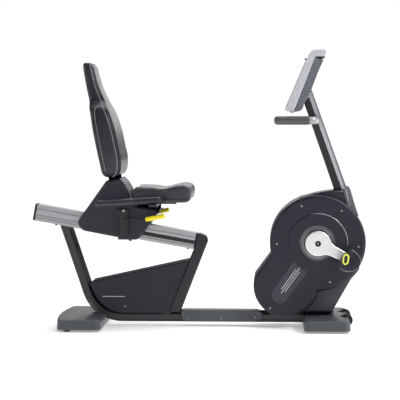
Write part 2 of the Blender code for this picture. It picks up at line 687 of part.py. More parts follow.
def make_carriage(steel, plastic, dark):
    """The saddle that rides the rail on two rollers, and the two covers around it."""
    start, end = rail_distance(-0.560), rail_distance(-0.305)
    saddle = mm((-56.5, -34), (-51.5, -34), (-51.5, 70), (51.5, 70), (51.5, -34), (56.5, -34), (56.5, 76),
                (-56.5, 76))
    frame = prism("carriage_frame", saddle, start, end, steel, on_rail)
    pin = pin_centre()
    cut(frame, bore("cut_shaft_frame", LEVER_PIVOT, 0.0048, -0.1, 0.1, 12),
        bore("cut_pin_frame", pin, 0.0056, -0.1, 0.0, 12))

    outline = mm((-461, 746), (-514, 675), (-555, 620), (-585, 578), (-602, 549), (-604, 528), (-596, 510),
                 (-576, 493), (-402, 460), (-402, 448), (-306, 448), (-288, 462), (-269, 488), (-243, 525),
                 (-196, 588), (-175, 619), (-322, 619), (-328, 661), (-343, 698), (-365, 735), (-387, 760))
    tunnel = mm((-47.5, -90), (47.5, -90), (47.5, 45.3), (-47.5, 45.3))
    for name, away in (("right", -1), ("left", 1)):
        cover = shell("carriage_cover_" + name, outline, away * GAP, away * CARRIAGE_HALF_WIDTH, 0.003, plastic,
                      chamfer=0.012)
        cut(cover, prism("cut_tunnel_" + name, tunnel, rail_distance(-0.65), rail_distance(-0.1), None, on_rail),
            block("cut_neck_" + name, (-0.457, -0.034, 0.72), (-0.397, 0.034, 0.80)),
            block("cut_pan_" + name, (-0.306, -0.046, 0.600), (-0.194, 0.046, 0.650)),
            bore("cut_shaft_" + name, LEVER_PIVOT, 0.0048, away * 0.1, away * 0.13, 12))

    bracket = mm((-406, 602), (-406, 567), (-391, 567), (-391, 472), (-348, 472), (-348, 602))
    clamp = prism("lever_bracket", bracket, -0.148, -CARRIAGE_HALF_WIDTH - GAP, dark, chamfer=0.002)
    cut(clamp, bore("cut_shaft_bracket", LEVER_PIVOT, 0.0048, -0.16, -0.11, 12))

    rollers = []
    for name, x in (("roller_rear", -0.530), ("roller_front", -0.332)):
        middle = Vector(on_rail(0, RAIL_HALF_HEIGHT + GAP + ROLLER_RADIUS, rail_distance(x)))
        roller = turned(name, [(0.009, -0.050), (0.009, -0.045), (ROLLER_RADIUS, -0.044),
                               (ROLLER_RADIUS, 0.044),
                               (0.009, 0.045), (0.009, 0.050)], middle, dark, 12)
        rollers.append((roller, middle))
    return [bpy.data.objects[n] for n in ("carriage_frame", "carriage_cover_right", "carriage_cover_left",
                                          "lever_bracket")], rollers


def pin_centre():
    """Where the lock pin crosses the rack's middle line."""
    return Vector(on_rail(0, -0.0065, rail_distance(-0.369)))


def make_lever(black, yellow, steel, seat_axis):
    """The release lever: one bent rod across the carriage with a yellow grip on each side, and a lock pin."""
    lift = {"right": (0.554, 0.573), "left": (0.562, 0.586)}
    arms = {}
    for name, away in (("right", -1), ("left", 1)):
        mid, tip = lift[name]
        arms[name] = [(-0.258, away * LEVER_SPREAD, mid), (-0.335, away * LEVER_SPREAD, 0.5525),
                      (-0.350, away * (LEVER_SPREAD - 0.004), 0.552), (-0.355, away * (LEVER_SPREAD - 0.012), 0.552)]
    path = arms["right"] + [(x, y, z) for x, y, z in reversed(arms["left"])]
    rod = swept("release_lever", path, circle(0.0042, 10), Vector((0, 0, 1)), black)
    lever_axis = pivot("lever_axis", LEVER_PIVOT, seat_axis)
    pieces = [rod]
    for name, away in (("right", -1), ("left", 1)):
        mid, tip = lift[name]
        start = Vector((-0.2577, away * LEVER_SPREAD, mid))
        end = Vector((-0.161, away * LEVER_SPREAD, tip))
        pieces.append(capsule("lever_grip_" + name, start, end, 0.012, yellow, 10))
    hang(lever_axis, *pieces)

    pin = pin_centre()
    lock = turned("lock_pin",
                  [(0.003, -0.046), (0.005, -0.050), (0.005, -0.088), (0.008, -0.088), (0.008, -0.100)],
                  pin, steel, 14)
    hang(pivot("lock_pin_axis", pin, seat_axis), lock)


def make_seat(steel, leather, plastic, rubber):
    """Seat pan, cushion, side handles, back post, backrest shell and backrest cushion."""
    foot_rear, foot_front = (on_rail(0, 0.0763, rail_distance(x)) for x in (-0.353, -0.309))
    riser = mm((-200, 634), (-302, 634), (-302, 600), (-340, 588))
    riser += [(foot_rear[0], foot_rear[2]), (foot_front[0], foot_front[2])] + mm((-215, 600), (-200, 612))
    pan = prism("seat_pan", rounded(mm((-318, -150), (-70, -165), (-70, 165), (-318, 150)), 0.03, 3), 0.632, 0.640,
                plastic, plan)
    add(pan, prism("pan_riser", riser, -0.042, 0.042, None),
        block("pan_strap", (-0.235, -0.250, 0.621), (-0.195, 0.250, 0.6335)))
    cushion = make_cushion(leather)
    handles = []
    for name, away in (("right", -1), ("left", 1)):
        y = away * HANDLE_SPREAD
        handles.append(capsule("seat_handle_" + name, (-0.504, y, 0.634), (-0.172, y, 0.657), 0.018, rubber, 14))

    post_foot = [on_rail(0, 0.0763, rail_distance(x)) for x in (-0.466, -0.416)]
    post_line = [(p[0], p[2]) for p in post_foot] + mm((-402, 764.6), (-452, 764.6))
    post = prism("backrest_post", post_line, -0.031, 0.031, steel, chamfer=0.003)
    shell_part, pad = make_backrest(plastic, leather)
    return [pan, cushion, post, shell_part, pad] + handles


def make_cushion(leather):
    """A seat cushion: narrow and flat behind, wider and raised in front."""
    stations = [(-0.325, 0.165, 0.646, 0.690), (-0.312, 0.178, 0.6405, 0.708), (-0.280, 0.184, 0.6405, 0.716),
                (-0.215, 0.187, 0.6405, 0.714), (-0.178, 0.190, 0.6405, 0.708), (-0.150, 0.214, 0.6405, 0.710),
                (-0.090, 0.220, 0.6405, 0.726), (-0.055, 0.218, 0.644, 0.729), (-0.034, 0.208, 0.650, 0.718),
                (-0.027, 0.190, 0.660, 0.704)]
    loops = []
    for x, half, low, high in stations:
        crown = 0.014
        corners = [(-half, low + 0.010), (-half + 0.012, low), (0, low), (half - 0.012, low), (half, low + 0.010),
                   (half, high - crown), (half - 0.018, high), (half * 0.5, high + 0.001), (0, high + 0.0015),
                   (-half * 0.5, high + 0.001), (-half + 0.018, high), (-half, high - crown)]
        loops.append([(x, y, z) for y, z in corners])
    return bridge("seat_cushion", loops, leather)


def make_backrest(plastic, leather):
    """The backrest: a dark shell behind and a thick pad in front, narrower at the head."""
    stations = [(0.7655, -0.462, -0.412, 0.150), (0.785, -0.476, -0.384, 0.188), (0.850, -0.490, -0.376, 0.204),
                (0.918, -0.504, -0.389, 0.208), (1.000, -0.520, -0.407, 0.208), (1.071, -0.531, -0.430, 0.203),
                (1.110, -0.538, -0.446, 0.190), (1.131, -0.541, -0.456, 0.163), (1.152, -0.545, -0.466, 0.136),
                (1.219, -0.560, -0.496, 0.126), (1.290, -0.573, -0.517, 0.120), (1.322, -0.576, -0.526, 0.108),
                (1.339, -0.566, -0.538, 0.085)]
    share, wall = 0.42, 0.006
    back_loops, hollow_loops, pad_loops = [], [], []
    for z, rear, front, half in stations:
        split = rear + (front - rear) * share
        back_loops.append(shell_ring(rear, split, half, z))
        if stations[1][0] <= z <= stations[-2][0]:
            ring = shell_ring(rear + wall, split - wall, half - wall, z)
            hollow_loops.append([(split + wall, -half + wall, z)] + ring + [(split + wall, half - wall, z)])
        depth = front - split
        split += GAP
        right = [(front - depth * 0.25, -half, z), (front - depth * 0.06, -half * 0.95, z),
                 (front, -half * 0.84, z)]
        left = [(x, -y, level) for x, y, level in right]
        pad_loops.append([(split, -half, z), (split, half, z)] + left + list(reversed(right)))
    back = bridge("backrest_shell", back_loops, plastic)
    cut(back, bridge("cut_backrest_shell", hollow_loops, None))
    return back, bridge("backrest_cushion", pad_loops, leather)


def shell_ring(rear, split, half, z):
    """A level section of the backrest's shell: flat in front, its rear corners rounded."""
    depth = split - rear
    right = [(split, -half, z), (rear + depth * 0.35, -half * 0.985, z), (rear + depth * 0.06, -half * 0.93, z),
             (rear, -half * 0.82, z)]
    return right + [(x, -y, level) for x, y, level in reversed(right)]


# ---------------------------------------------------------------- assembly

def main():
    for obj in list(bpy.data.objects):
        bpy.data.objects.remove(obj)
    black = paint("black_paint", (0.022, 0.023, 0.026), 0.32, 0.2)
    charcoal = paint("charcoal_plastic", (0.045, 0.047, 0.053), 0.50)
    panel_plastic = paint("panel_plastic", (0.058, 0.060, 0.068), 0.48)
    grey = paint("grey_plastic", (0.115, 0.120, 0.130), 0.45)
    console_grey = paint("console_grey", (0.190, 0.195, 0.205), 0.40)
    silver = paint("silver_paint", (0.480, 0.490, 0.510), 0.30, 0.6)
    aluminium = paint("anodised_aluminium", (0.520, 0.520, 0.530), 0.35, 0.9)
    bright = paint("polished_aluminium", (0.680, 0.680, 0.690), 0.28, 0.9)
    steel = paint("black_steel", (0.050, 0.050, 0.055), 0.40, 0.8)
    dark_metal = paint("machined_steel", (0.350, 0.350, 0.360), 0.35, 0.9)
    rubber = paint("black_rubber", (0.018, 0.018, 0.019), 0.80)
    leather = paint("black_leather", (0.050, 0.051, 0.056), 0.42)
    yellow = paint("yellow_plastic", (0.900, 0.760, 0.030), 0.40)
    glass = paint("dark_glass", (0.010, 0.012, 0.016), 0.08)
    green = paint("green_plastic", (0.060, 0.350, 0.120), 0.40)

    make_base(black, grey, panel_plastic)
    make_feet(grey, rubber)
    make_wheels(rubber)
    make_rail(aluminium, rubber)
    make_housing(charcoal, panel_plastic)
    make_drive_frame(steel)
    make_brake(dark_metal)
    make_drive(steel, rubber, bright, black, dark_metal)
    make_mast(silver, charcoal)
    make_handlebar(silver, rubber)
    make_console(silver, console_grey, glass, charcoal, green)

    seat_axis = pivot("seat_axis", Vector(on_rail(0, 0, rail_distance(-0.43))))
    frame_parts, rollers = make_carriage(steel, charcoal, black)
    hang(seat_axis, *frame_parts, *make_seat(steel, leather, charcoal, rubber))
    for roller, middle in rollers:
        hang(pivot(roller.name + "_axis", middle, seat_axis), roller)
    make_lever(black, yellow, dark_metal, seat_axis)


main()
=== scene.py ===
"""Looks of the recumbent exercise bike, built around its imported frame.

Metres, +Z up, +X towards the console, left of the rider at +Y.
Outlines are written in millimetres, as (x, z) seen from the side or (x, y) seen from above.
"""
import json
import math

import bmesh
import bpy
from mathutils import Euler, Matrix, Vector


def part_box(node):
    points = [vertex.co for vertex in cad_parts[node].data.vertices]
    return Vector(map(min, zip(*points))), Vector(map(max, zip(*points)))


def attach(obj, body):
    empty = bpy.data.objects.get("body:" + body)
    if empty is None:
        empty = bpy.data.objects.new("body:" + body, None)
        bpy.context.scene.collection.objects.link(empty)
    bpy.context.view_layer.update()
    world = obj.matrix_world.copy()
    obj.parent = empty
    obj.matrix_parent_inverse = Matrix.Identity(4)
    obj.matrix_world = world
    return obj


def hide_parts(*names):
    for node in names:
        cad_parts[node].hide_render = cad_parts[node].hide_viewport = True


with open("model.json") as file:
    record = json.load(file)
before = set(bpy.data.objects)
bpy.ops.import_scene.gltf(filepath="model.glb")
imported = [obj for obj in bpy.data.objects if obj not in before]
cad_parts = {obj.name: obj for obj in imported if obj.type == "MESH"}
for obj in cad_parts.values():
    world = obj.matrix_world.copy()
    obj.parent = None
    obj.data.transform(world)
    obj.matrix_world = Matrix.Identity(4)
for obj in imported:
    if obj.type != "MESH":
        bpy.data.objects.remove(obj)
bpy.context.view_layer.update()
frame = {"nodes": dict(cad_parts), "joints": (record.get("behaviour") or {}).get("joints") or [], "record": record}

NODES = frame["nodes"]
SLOTS = {part["node"]: part["material_slot"] for part in frame["record"]["subparts"]}
BODY_OF = {n: b for b, names in frame["record"]["behaviour"]["bodies"].items() for n in names}
JOINT = {joint["name"]: joint for joint in frame["joints"]}
PLACE = {name: Vector(joint["pos_m"]) for name, joint in JOINT.items() if "pos_m" in joint}

CRANK = PLACE["crank_spin"]
FLYWHEEL = PLACE["flywheel_spin"]
DISC_RADIUS, LOBE_RADIUS = 0.241, 0.160
CORE_HALF_WIDTH, COVER_HALF_WIDTH = 0.080, 0.120
HUB_RADIUS, CRANK_LENGTH = 0.064, 0.149
CRANK_INNER, CRANK_OUTER = 0.129, 0.153
PEDAL_TILT = math.radians(54)
RAIL_START = Vector((-0.82795, 0.0, 0.5816))
RAIL_SLOPE = math.radians(10.14)
RAIL_HALF_HEIGHT = 0.0423
BEAM_LOW, BEAM_HIGH = 0.019, 0.080
CARRIAGE_HALF_WIDTH = 0.120
HANDLE_SPREAD, LEVER_SPREAD = 0.235, 0.165
CONSOLE_HALF_WIDTH = 0.190
CONSOLE_TILT = math.atan2(0.105, 0.262)
BAR_HEIGHT, BAR_SPREAD, BAR_CROSS_X, BAR_RADIUS = 1.050, 0.200, 0.592, 0.0190
SIDES = (("right", -1), ("left", 1))
SHARP = math.radians(40)
AHEAD, ACROSS, UP = Vector((1, 0, 0)), Vector((0, 1, 0)), Vector((0, 0, 1))


# ---------------------------------------------------------------- materials

def set_inputs(node, **values):
    """Sets a node's inputs; an underscore stands for a space in an input's name."""
    for name, value in values.items():
        node.inputs[name.replace("_", " ")].default_value = value
    return node


def shader_of(name, colour, roughness, metallic=0.0, coat=0.0, coat_roughness=0.1, gloss=0.5):
    """A Principled material with its tree, ready for texture nodes."""
    material = bpy.data.materials.new(name)
    material.use_nodes = True
    shader = set_inputs(material.node_tree.nodes["Principled BSDF"], Base_Color=(*colour, 1.0),
                        Roughness=roughness, Metallic=metallic, Specular_IOR_Level=gloss, Coat_Weight=coat,
                        Coat_Roughness=coat_roughness)
    return material, material.node_tree, shader


def pattern(tree, kind, scale, stretch=(1, 1, 1), turn=(0, 0, 0), detail=2.0):
    """A noise or Voronoi pattern in the object's own coordinates."""
    coords = tree.nodes.new("ShaderNodeTexCoord")
    mapping = set_inputs(tree.nodes.new("ShaderNodeMapping"), Rotation=turn)
    stretched = set_inputs(tree.nodes.new("ShaderNodeMapping"), Scale=stretch)
    texture = set_inputs(tree.nodes.new("ShaderNodeTex" + kind), Scale=scale)
    if kind == "Noise":
        set_inputs(texture, Detail=detail)
    tree.links.new(coords.outputs["Object"], mapping.inputs["Vector"])
    tree.links.new(mapping.outputs["Vector"], stretched.inputs["Vector"])
    tree.links.new(stretched.outputs["Vector"], texture.inputs["Vector"])
    return texture.outputs["Distance" if kind == "Voronoi" else "Fac"]


def spread(tree, source, low, high, darkest=0.25, lightest=0.75):
    """The source's darkest to lightest mapped to low to high."""
    node = set_inputs(tree.nodes.new("ShaderNodeMapRange"), From_Min=darkest, From_Max=lightest, To_Min=low,
                      To_Max=high)
    tree.links.new(source, node.inputs["Value"])
    return node.outputs["Result"]


def colour_mix(tree, shader, share):
    """A colour mix driven by share that feeds the shader."""
    mix = tree.nodes.new("ShaderNodeMix")
    mix.data_type = "RGBA"
    tree.links.new(share, mix.inputs["Factor"])
    tree.links.new(mix.outputs[2], shader.inputs["Base Color"])
    return mix


def tint(tree, shader, colour, source, amount):
    """Colour that varies by an amount either way."""
    mix = colour_mix(tree, shader, spread(tree, source, 0.0, 1.0))
    mix.inputs[6].default_value = (*[c * (1 - amount) for c in colour], 1.0)
    mix.inputs[7].default_value = (*[min(1.0, c * (1 + amount)) for c in colour], 1.0)
    return mix


def wear(tree, shader, mix, colour, amount):
    """Edges rubbed towards a lighter colour."""
    geometry = tree.nodes.new("ShaderNodeNewGeometry")
    worn = colour_mix(tree, shader, spread(tree, geometry.outputs["Pointiness"], 0.0, amount, 0.52, 0.62))
    worn.inputs[7].default_value = (*colour, 1.0)
    tree.links.new(mix.outputs[2], worn.inputs[6])


def bump(tree, shader, source, strength, distance):
    """Height from a pattern, in metres; calls add up."""
    node = set_inputs(tree.nodes.new("ShaderNodeBump"), Strength=strength, Distance=distance)
    tree.links.new(source, node.inputs["Height"])
    earlier = shader.inputs["Normal"].links
    if earlier:
        tree.links.new(earlier[0].from_socket, node.inputs["Normal"])
    tree.links.new(node.outputs["Normal"], shader.inputs["Normal"])


def noise(tree, scale, detail=2.0):
    return pattern(tree, "Noise", scale, detail=detail)


def roughen(tree, shader, source, low, high):
    tree.links.new(spread(tree, source, low, high), shader.inputs["Roughness"])


def plastic(name, colour, roughness):
    """Moulded plastic: fine spark grain, soft unevenness and lighter rubbed edges."""
    material, tree, shader = shader_of(name, colour, roughness, gloss=0.36)
    mix = tint(tree, shader, colour, noise(tree, 9.0, 4.0), 0.07)
    wear(tree, shader, mix, [min(1.0, c * 2.2 + 0.01) for c in colour], 0.35)
    roughen(tree, shader, noise(tree, 35.0, 5.0), roughness - 0.05, roughness + 0.07)
    bump(tree, shader, noise(tree, 900.0, 3.0), 0.30, 0.00012)
    bump(tree, shader, noise(tree, 14.0), 0.10, 0.0006)
    return material


def painted(name, colour, roughness):
    """Powder coat: an orange-peel surface under a thin clear gloss."""
    material, tree, shader = shader_of(name, colour, roughness, coat=0.2, coat_roughness=0.22, gloss=0.36)
    mix = tint(tree, shader, colour, noise(tree, 12.0, 4.0), 0.08)
    wear(tree, shader, mix, (0.16, 0.16, 0.165), 0.25)
    roughen(tree, shader, noise(tree, 50.0, 4.0), roughness - 0.05, roughness + 0.06)
    bump(tree, shader, noise(tree, 420.0, 2.0), 0.18, 0.0002)
    return material


def brushed(name, colour, roughness, stretch, turn=(0, 0, 0)):
    """Brushed or extruded metal: fine lines along one direction."""
    material, tree, shader = shader_of(name, colour, roughness, 1.0)
    lines = pattern(tree, "Noise", 260.0, stretch, turn, 6.0)
    tint(tree, shader, colour, lines, 0.09)
    roughen(tree, shader, lines, roughness - 0.08, roughness + 0.12)
    bump(tree, shader, lines, 0.35, 0.00006)
    bump(tree, shader, noise(tree, 18.0), 0.06, 0.0005)
    return material


def silvered(name, colour, roughness, metallic):
    """Metallic silver paint: tiny flakes under a clear coat."""
    material, tree, shader = shader_of(name, colour, roughness, metallic, 0.35, 0.15)
    tint(tree, shader, colour, noise(tree, 1500.0, 2.0), 0.035)
    roughen(tree, shader, noise(tree, 40.0, 5.0), roughness - 0.05, roughness + 0.06)
    bump(tree, shader, noise(tree, 700.0, 2.0), 0.06, 0.00006)
    return material


def leather(name, colour, roughness):
    """Synthetic leather: pebbled cells, faint creases and a soft gloss."""
    material, tree, shader = shader_of(name, colour, roughness, coat=0.10, coat_roughness=0.22, gloss=0.28)
    cells = pattern(tree, "Voronoi", 520.0)
    mix = tint(tree, shader, colour, noise(tree, 22.0, 5.0), 0.12)
    wear(tree, shader, mix, [c * 2.0 for c in colour], 0.30)
    roughen(tree, shader, noise(tree, 60.0, 5.0), roughness - 0.06, roughness + 0.08)
    bump(tree, shader, cells, 0.35, 0.0004)
    bump(tree, shader, noise(tree, 30.0, 3.0), 0.16, 0.0012)
    return material


def rubber(name, colour, roughness):
    """Rubber: a dull, finely pitted skin."""
    material, tree, shader = shader_of(name, colour, roughness)
    tint(tree, shader, colour, noise(tree, 45.0, 5.0), 0.18)
    roughen(tree, shader, noise(tree, 80.0, 4.0), roughness - 0.08, roughness + 0.08)
    bump(tree, shader, pattern(tree, "Voronoi", 700.0), 0.30, 0.0003)
    return material


def display(name, colour):
    """A glossy dark window with a faint smudge."""
    material, tree, shader = shader_of(name, colour, 0.10, coat=1.0, coat_roughness=0.04)
    tint(tree, shader, colour, noise(tree, 6.0, 3.0), 0.15)
    roughen(tree, shader, noise(tree, 20.0, 6.0), 0.07, 0.16)
    bump(tree, shader, noise(tree, 10.0), 0.03, 0.0002)
    return material


LOOKS = (
    (painted, "black_paint", (0.0062, 0.0078, 0.0115), 0.33),
    (painted, "black_trim", (0.0052, 0.0060, 0.0085), 0.35),
    (painted, "black_steel", (0.008, 0.0088, 0.0105), 0.40),
    (plastic, "charcoal_plastic", (0.0168, 0.0188, 0.0275), 0.38),
    (plastic, "panel_plastic", (0.0120, 0.0136, 0.0220), 0.40),
    (plastic, "grey_plastic", (0.070, 0.076, 0.084), 0.38),
    (plastic, "column_grey", (0.058, 0.063, 0.072), 0.42),
    (plastic, "badge_grey", (0.040, 0.042, 0.054), 0.42),
    (plastic, "console_grey", (0.150, 0.156, 0.175), 0.45),
    (plastic, "back_grey", (0.112, 0.118, 0.136), 0.45),
    (plastic, "yellow_plastic", (0.90, 0.74, 0.02), 0.38),
    (plastic, "lime_plastic", (0.72, 0.74, 0.10), 0.36),
    (plastic, "green_plastic", (0.06, 0.35, 0.12), 0.38),
    (plastic, "black_plastic", (0.016, 0.016, 0.018), 0.42),
    (silvered, "silver_paint", (0.43, 0.435, 0.455), 0.34, 0.35),
    (silvered, "silver_plastic", (0.50, 0.505, 0.54), 0.38, 0.25),
    # bar_grey: a darker copy of the silver paint for the bar, painted shade against the key light's glare
    (silvered, "bar_grey", (0.30, 0.305, 0.32), 0.38, 0.2),
    # edging_grey: the bright silver of a painted highlight on the raised disc's step
    (silvered, "edging_grey", (0.30, 0.30, 0.32), 0.24, 0.7),
    (silvered, "dish_grey", (0.30, 0.30, 0.32), 0.30, 0.5),
    (brushed, "anodised_aluminium", (0.42, 0.42, 0.44), 0.38, (0.02, 1, 1), (0, RAIL_SLOPE, 0)),
    (brushed, "polished_aluminium", (0.80, 0.80, 0.81), 0.34, (0.10, 1, 1), (0, math.radians(26.7), 0)),
    (brushed, "machined_steel", (0.42, 0.42, 0.43), 0.32, (1, 0.05, 1)),
    (rubber, "black_rubber", (0.020, 0.020, 0.022), 0.62),
    (rubber, "grip_grey", (0.062, 0.068, 0.075), 0.42),
    (rubber, "handle_grey", (0.022, 0.025, 0.032), 0.32),
    (rubber, "strap_grey", (0.16, 0.165, 0.172), 0.40),
    (leather, "black_leather", (0.0185, 0.0205, 0.0255), 0.30),
    (leather, "seat_leather", (0.036, 0.039, 0.046), 0.34),
    # pad_leather: a darker copy of the backrest leather, painted shade on the pad's lit front
    (leather, "pad_leather", (0.013, 0.015, 0.0195), 0.34),
    # piping_leather: light grey on the piping and welts, a painted highlight on real seams
    (leather, "piping_leather", (0.16, 0.165, 0.175), 0.30),
    (display, "dark_glass", (0.010, 0.012, 0.016)),
)
MATERIALS = {name: make(name, *values) for make, name, *values in LOOKS}
# The CAD's slot for looks that aren't one themselves and can't take their node's
SLOT_OF_LOOK = {"black_trim": "black_paint", "black_plastic": "black_rubber", "edging_grey": "grey_plastic",
                "dish_grey": "grey_plastic", "badge_grey": "grey_plastic", "lime_plastic": "yellow_plastic",
                "piping_leather": "black_leather"}


# ---------------------------------------------------------------- mesh helpers

def mm(*points):
    """Points in millimetres as points in metres."""
    return [tuple(value * 0.001 for value in point) for point in points]


def arc(centre, radius, start, end, steps):
    """Points on an arc, angles in degrees."""
    angles = [math.radians(start + (end - start) * i / steps) for i in range(steps + 1)]
    return [(centre[0] + radius * math.cos(a), centre[1] + radius * math.sin(a)) for a in angles]


def rounded(corners, radius, steps=8):
    """An outline with each corner rounded; radius is one number or one for each corner."""
    radii = radius if isinstance(radius, (list, tuple)) else [radius] * len(corners)
    points = []
    for i, corner in enumerate(corners):
        here = Vector(corner)
        back = (Vector(corners[i - 1]) - here).normalized()
        ahead = (Vector(corners[(i + 1) % len(corners)]) - here).normalized()
        half = back.angle(ahead) / 2
        if radii[i] == 0:
            points.append(tuple(here))
            continue
        centre = here + (back + ahead).normalized() * radii[i] / math.sin(half)
        first = here + back * radii[i] / math.tan(half) - centre
        turn = math.pi - 2 * half
        if first.x * ahead.y - first.y * ahead.x < 0:
            turn = -turn
        for k in range(steps + 1):
            angle = turn * k / steps
            x = first.x * math.cos(angle) - first.y * math.sin(angle)
            y = first.x * math.sin(angle) + first.y * math.cos(angle)
            points.append((centre.x + x, centre.y + y))
    return points


def rectangle(left, low, right, high, radius=0.0, steps=8):
    """A rounded rectangle, all in millimetres."""
    return rounded(mm((left, low), (right, low), (right, high), (left, high)), radius * 0.001, steps)


def mirrored(points):
    """Points, then their mirror image in the second coordinate on the way back."""
    return points + [(u, -v) for u, v in reversed(points)]


def smooth_line(points, steps=8):
    """A Catmull-Rom curve through points of any dimension."""
    line = []
    last = len(points) - 1
    for i in range(last):
        a, b, c, d = [Vector(points[min(max(i + k, 0), last)]) for k in (-1, 0, 1, 2)]
        for k in range(steps):
            t = k / steps
            line.append(tuple(0.5 * ((2 * b) + (c - a) * t + (2 * a - 5 * b + 4 * c - d) * t ** 2
                                     + (3 * b - a - 3 * c + d) * t ** 3)))
    return line + [tuple(points[-1])]


def counter_clockwise(outline):
    area = sum(a[0] * b[1] - b[0] * a[1] for a, b in zip(outline, outline[1:] + outline[:1]))
    return list(outline) if area > 0 else list(reversed(outline))


def inset(outline, distance):
    """A counter-clockwise outline moved inwards, its corners mitred, the sharpest ones less far."""
    moved = []
    for i, here in enumerate(outline):
        back = (Vector(here) - Vector(outline[i - 1])).normalized()
        ahead = (Vector(outline[(i + 1) % len(outline)]) - Vector(here)).normalized()
        left = Vector((-back.y, back.x))
        right = Vector((-ahead.y, ahead.x))
        shift = (left + right) * distance / max(0.25, 1 + left.dot(right))
        moved.append((here[0] + shift.x, here[1] + shift.y))
    return moved


def side(u, v, height):
    return (u, height, v)


def plan(u, v, height):
    return (u, v, height)


def on_rail(y, height, distance):
    """A point of the rail's cross-section (y, height) at a distance along the rail."""
    x = RAIL_START.x + distance * math.cos(RAIL_SLOPE) + height * math.sin(RAIL_SLOPE)
    z = RAIL_START.z - distance * math.sin(RAIL_SLOPE) + height * math.cos(RAIL_SLOPE)
    return (x, y, z)


def rail_distance(x):
    return (x - RAIL_START.x) / math.cos(RAIL_SLOPE)


def finish_mesh(name, bm):
    """An object from a bmesh, its faces out and its soft edges shaded smooth."""
    bmesh.ops.recalc_face_normals(bm, faces=bm.faces)
    mesh = bpy.data.meshes.new(name)
    bm.to_mesh(mesh)
    bm.free()
    mesh.shade_smooth()
    mesh.set_sharp_from_angle(angle=SHARP)
    obj = bpy.data.objects.new(name, mesh)
    bpy.context.scene.collection.objects.link(obj)
    weights = obj.modifiers.new("weights", "WEIGHTED_NORMAL")
    weights.keep_sharp = True
    return obj


def bridge(name, loops, joined=False):
    """Joins loops of equally many points into one skin; the ends are capped, or joined."""
    bm = bmesh.new()
    rings = [[bm.verts.new(point) for point in loop] for loop in loops]
    pairs = list(zip(rings, rings[1:]))
    if joined:
        pairs.append((rings[-1], rings[0]))
    else:
        bm.faces.new(list(reversed(rings[0])))
        bm.faces.new(rings[-1])
    for lower, upper in pairs:
        for i, corner in enumerate(lower):
            j = (i + 1) % len(lower)
            bm.faces.new((corner, lower[j], upper[j], upper[i]))
    return finish_mesh(name, bm)


def quarter(radius, depth, steps=5):
    """(inset, depth below the face) pairs of a rounded edge, from its side to its face."""
    turns = [math.radians(90 * i / steps) for i in range(steps + 1)]
    return [(radius * (1 - math.cos(t)), depth * (1 - math.sin(t))) for t in turns]


def stack(name, outline, levels, place=side, joined=False):
    """A solid from one outline repeated at several (inset, height) levels."""
    outline = counter_clockwise(outline)
    return bridge(name, [[place(u, v, height) for u, v in inset(outline, step)] for step, height in levels],
                  joined)


def slab(name, outline, one, other, radius):
    """An outline extruded between two distances from the middle, with both faces' edges rounded."""
    low, high = sorted((one, other))
    top = [(step, high - down) for step, down in quarter(radius, radius)]
    bottom = [(step, low + down) for step, down in reversed(quarter(radius, radius))]
    return stack(name, outline, bottom + top)


def cover(name, outline, mouth, face, wall, radius, depth):
    """A hollow cover, open at its mouth, with a rounded edge around its face."""
    away = 1 if face > mouth else -1
    levels = [(wall, face - away * (wall + depth)), (wall, mouth), (0, mouth)]
    levels += [(step, face - away * down) for step, down in quarter(radius, depth, 8)]
    return stack(name, outline, levels)


def turned(name, profile, centre, segments=64, joined=False, axis=ACROSS):
    """A body of revolution; the profile holds (radius, distance along the axis) points."""
    along = axis.normalized()
    across = along.cross(Vector((0.3, 0.2, 1))).normalized()
    upright = across.cross(along)
    loops = []
    for radius, distance in profile:
        angles = [2 * math.pi * i / segments for i in range(segments)]
        loops.append([centre + along * distance + (across * math.cos(a) + upright * math.sin(a)) * radius
                      for a in angles])
    return bridge(name, loops, joined)


def carried(path, section, up):
    """A closed section carried along a path; up is the direction of its second coordinate."""
    loops = []
    for i, point in enumerate(path):
        before = Vector(path[max(i - 1, 0)])
        after = Vector(path[min(i + 1, len(path) - 1)])
        tangent = (after - before).normalized()
        across = tangent.cross(up).normalized()
        upright = across.cross(tangent).normalized()
        loops.append([Vector(point) + across * a + upright * b for a, b in section])
    return loops


def capsule(start, end, radius, heading, steps):
    """Two half circles joined by straight sides, from start to end along a heading in degrees."""
    return (arc(start, radius, heading + 90, heading + 270, steps)
            + arc(end, radius, heading - 90, heading + 90, steps))


def circle(radius, segments=24):
    angles = [2 * math.pi * i / segments for i in range(segments)]
    return [(radius * math.cos(a), radius * math.sin(a)) for a in angles]


def swept(name, path, radius, up=UP, segments=20):
    """A round bar along a path, its ends domed."""
    loops = carried(path, circle(radius, segments), up)
    first, last = Vector(path[0]), Vector(path[-1])
    into = (Vector(path[1]) - first).normalized()
    out = (last - Vector(path[-2])).normalized()
    domes = [(math.sin(math.radians(t)), math.cos(math.radians(t))) for t in (10, 30, 55, 75)]
    start = [[first + (p - first) * s - into * radius * c * 0.6 for p in loops[0]] for s, c in domes]
    end = [[last + (p - last) * s + out * radius * c * 0.6 for p in loops[-1]] for s, c in reversed(domes)]
    return bridge(name, start + loops + end)


def lathe_bar(name, start, end, profile, segments=32):
    """A turned bar between two points; the profile holds (share of the way, radius) points."""
    start, end = Vector(start), Vector(end)
    span = end - start
    return turned(name, [(radius, span.length * share) for share, radius in profile], start, segments,
                  axis=span)


def put(obj, like, look=None, replaces=(), slot=None):
    """Rides obj on the body of the CAD node it is like, with that node's slot and material or a look's."""
    slot = slot or SLOT_OF_LOOK.get(look) or (look if look in SLOTS.values() else SLOTS[like])
    obj.data.materials.clear()
    obj.data.materials.append(MATERIALS[look or slot])
    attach(obj, BODY_OF[like])
    if replaces:
        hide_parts(*replaces)
    return obj


def stand_in(obj, node, look=None, slot=None):
    """Puts obj in the place of a CAD node."""
    return put(obj, node, look, (node,), slot)


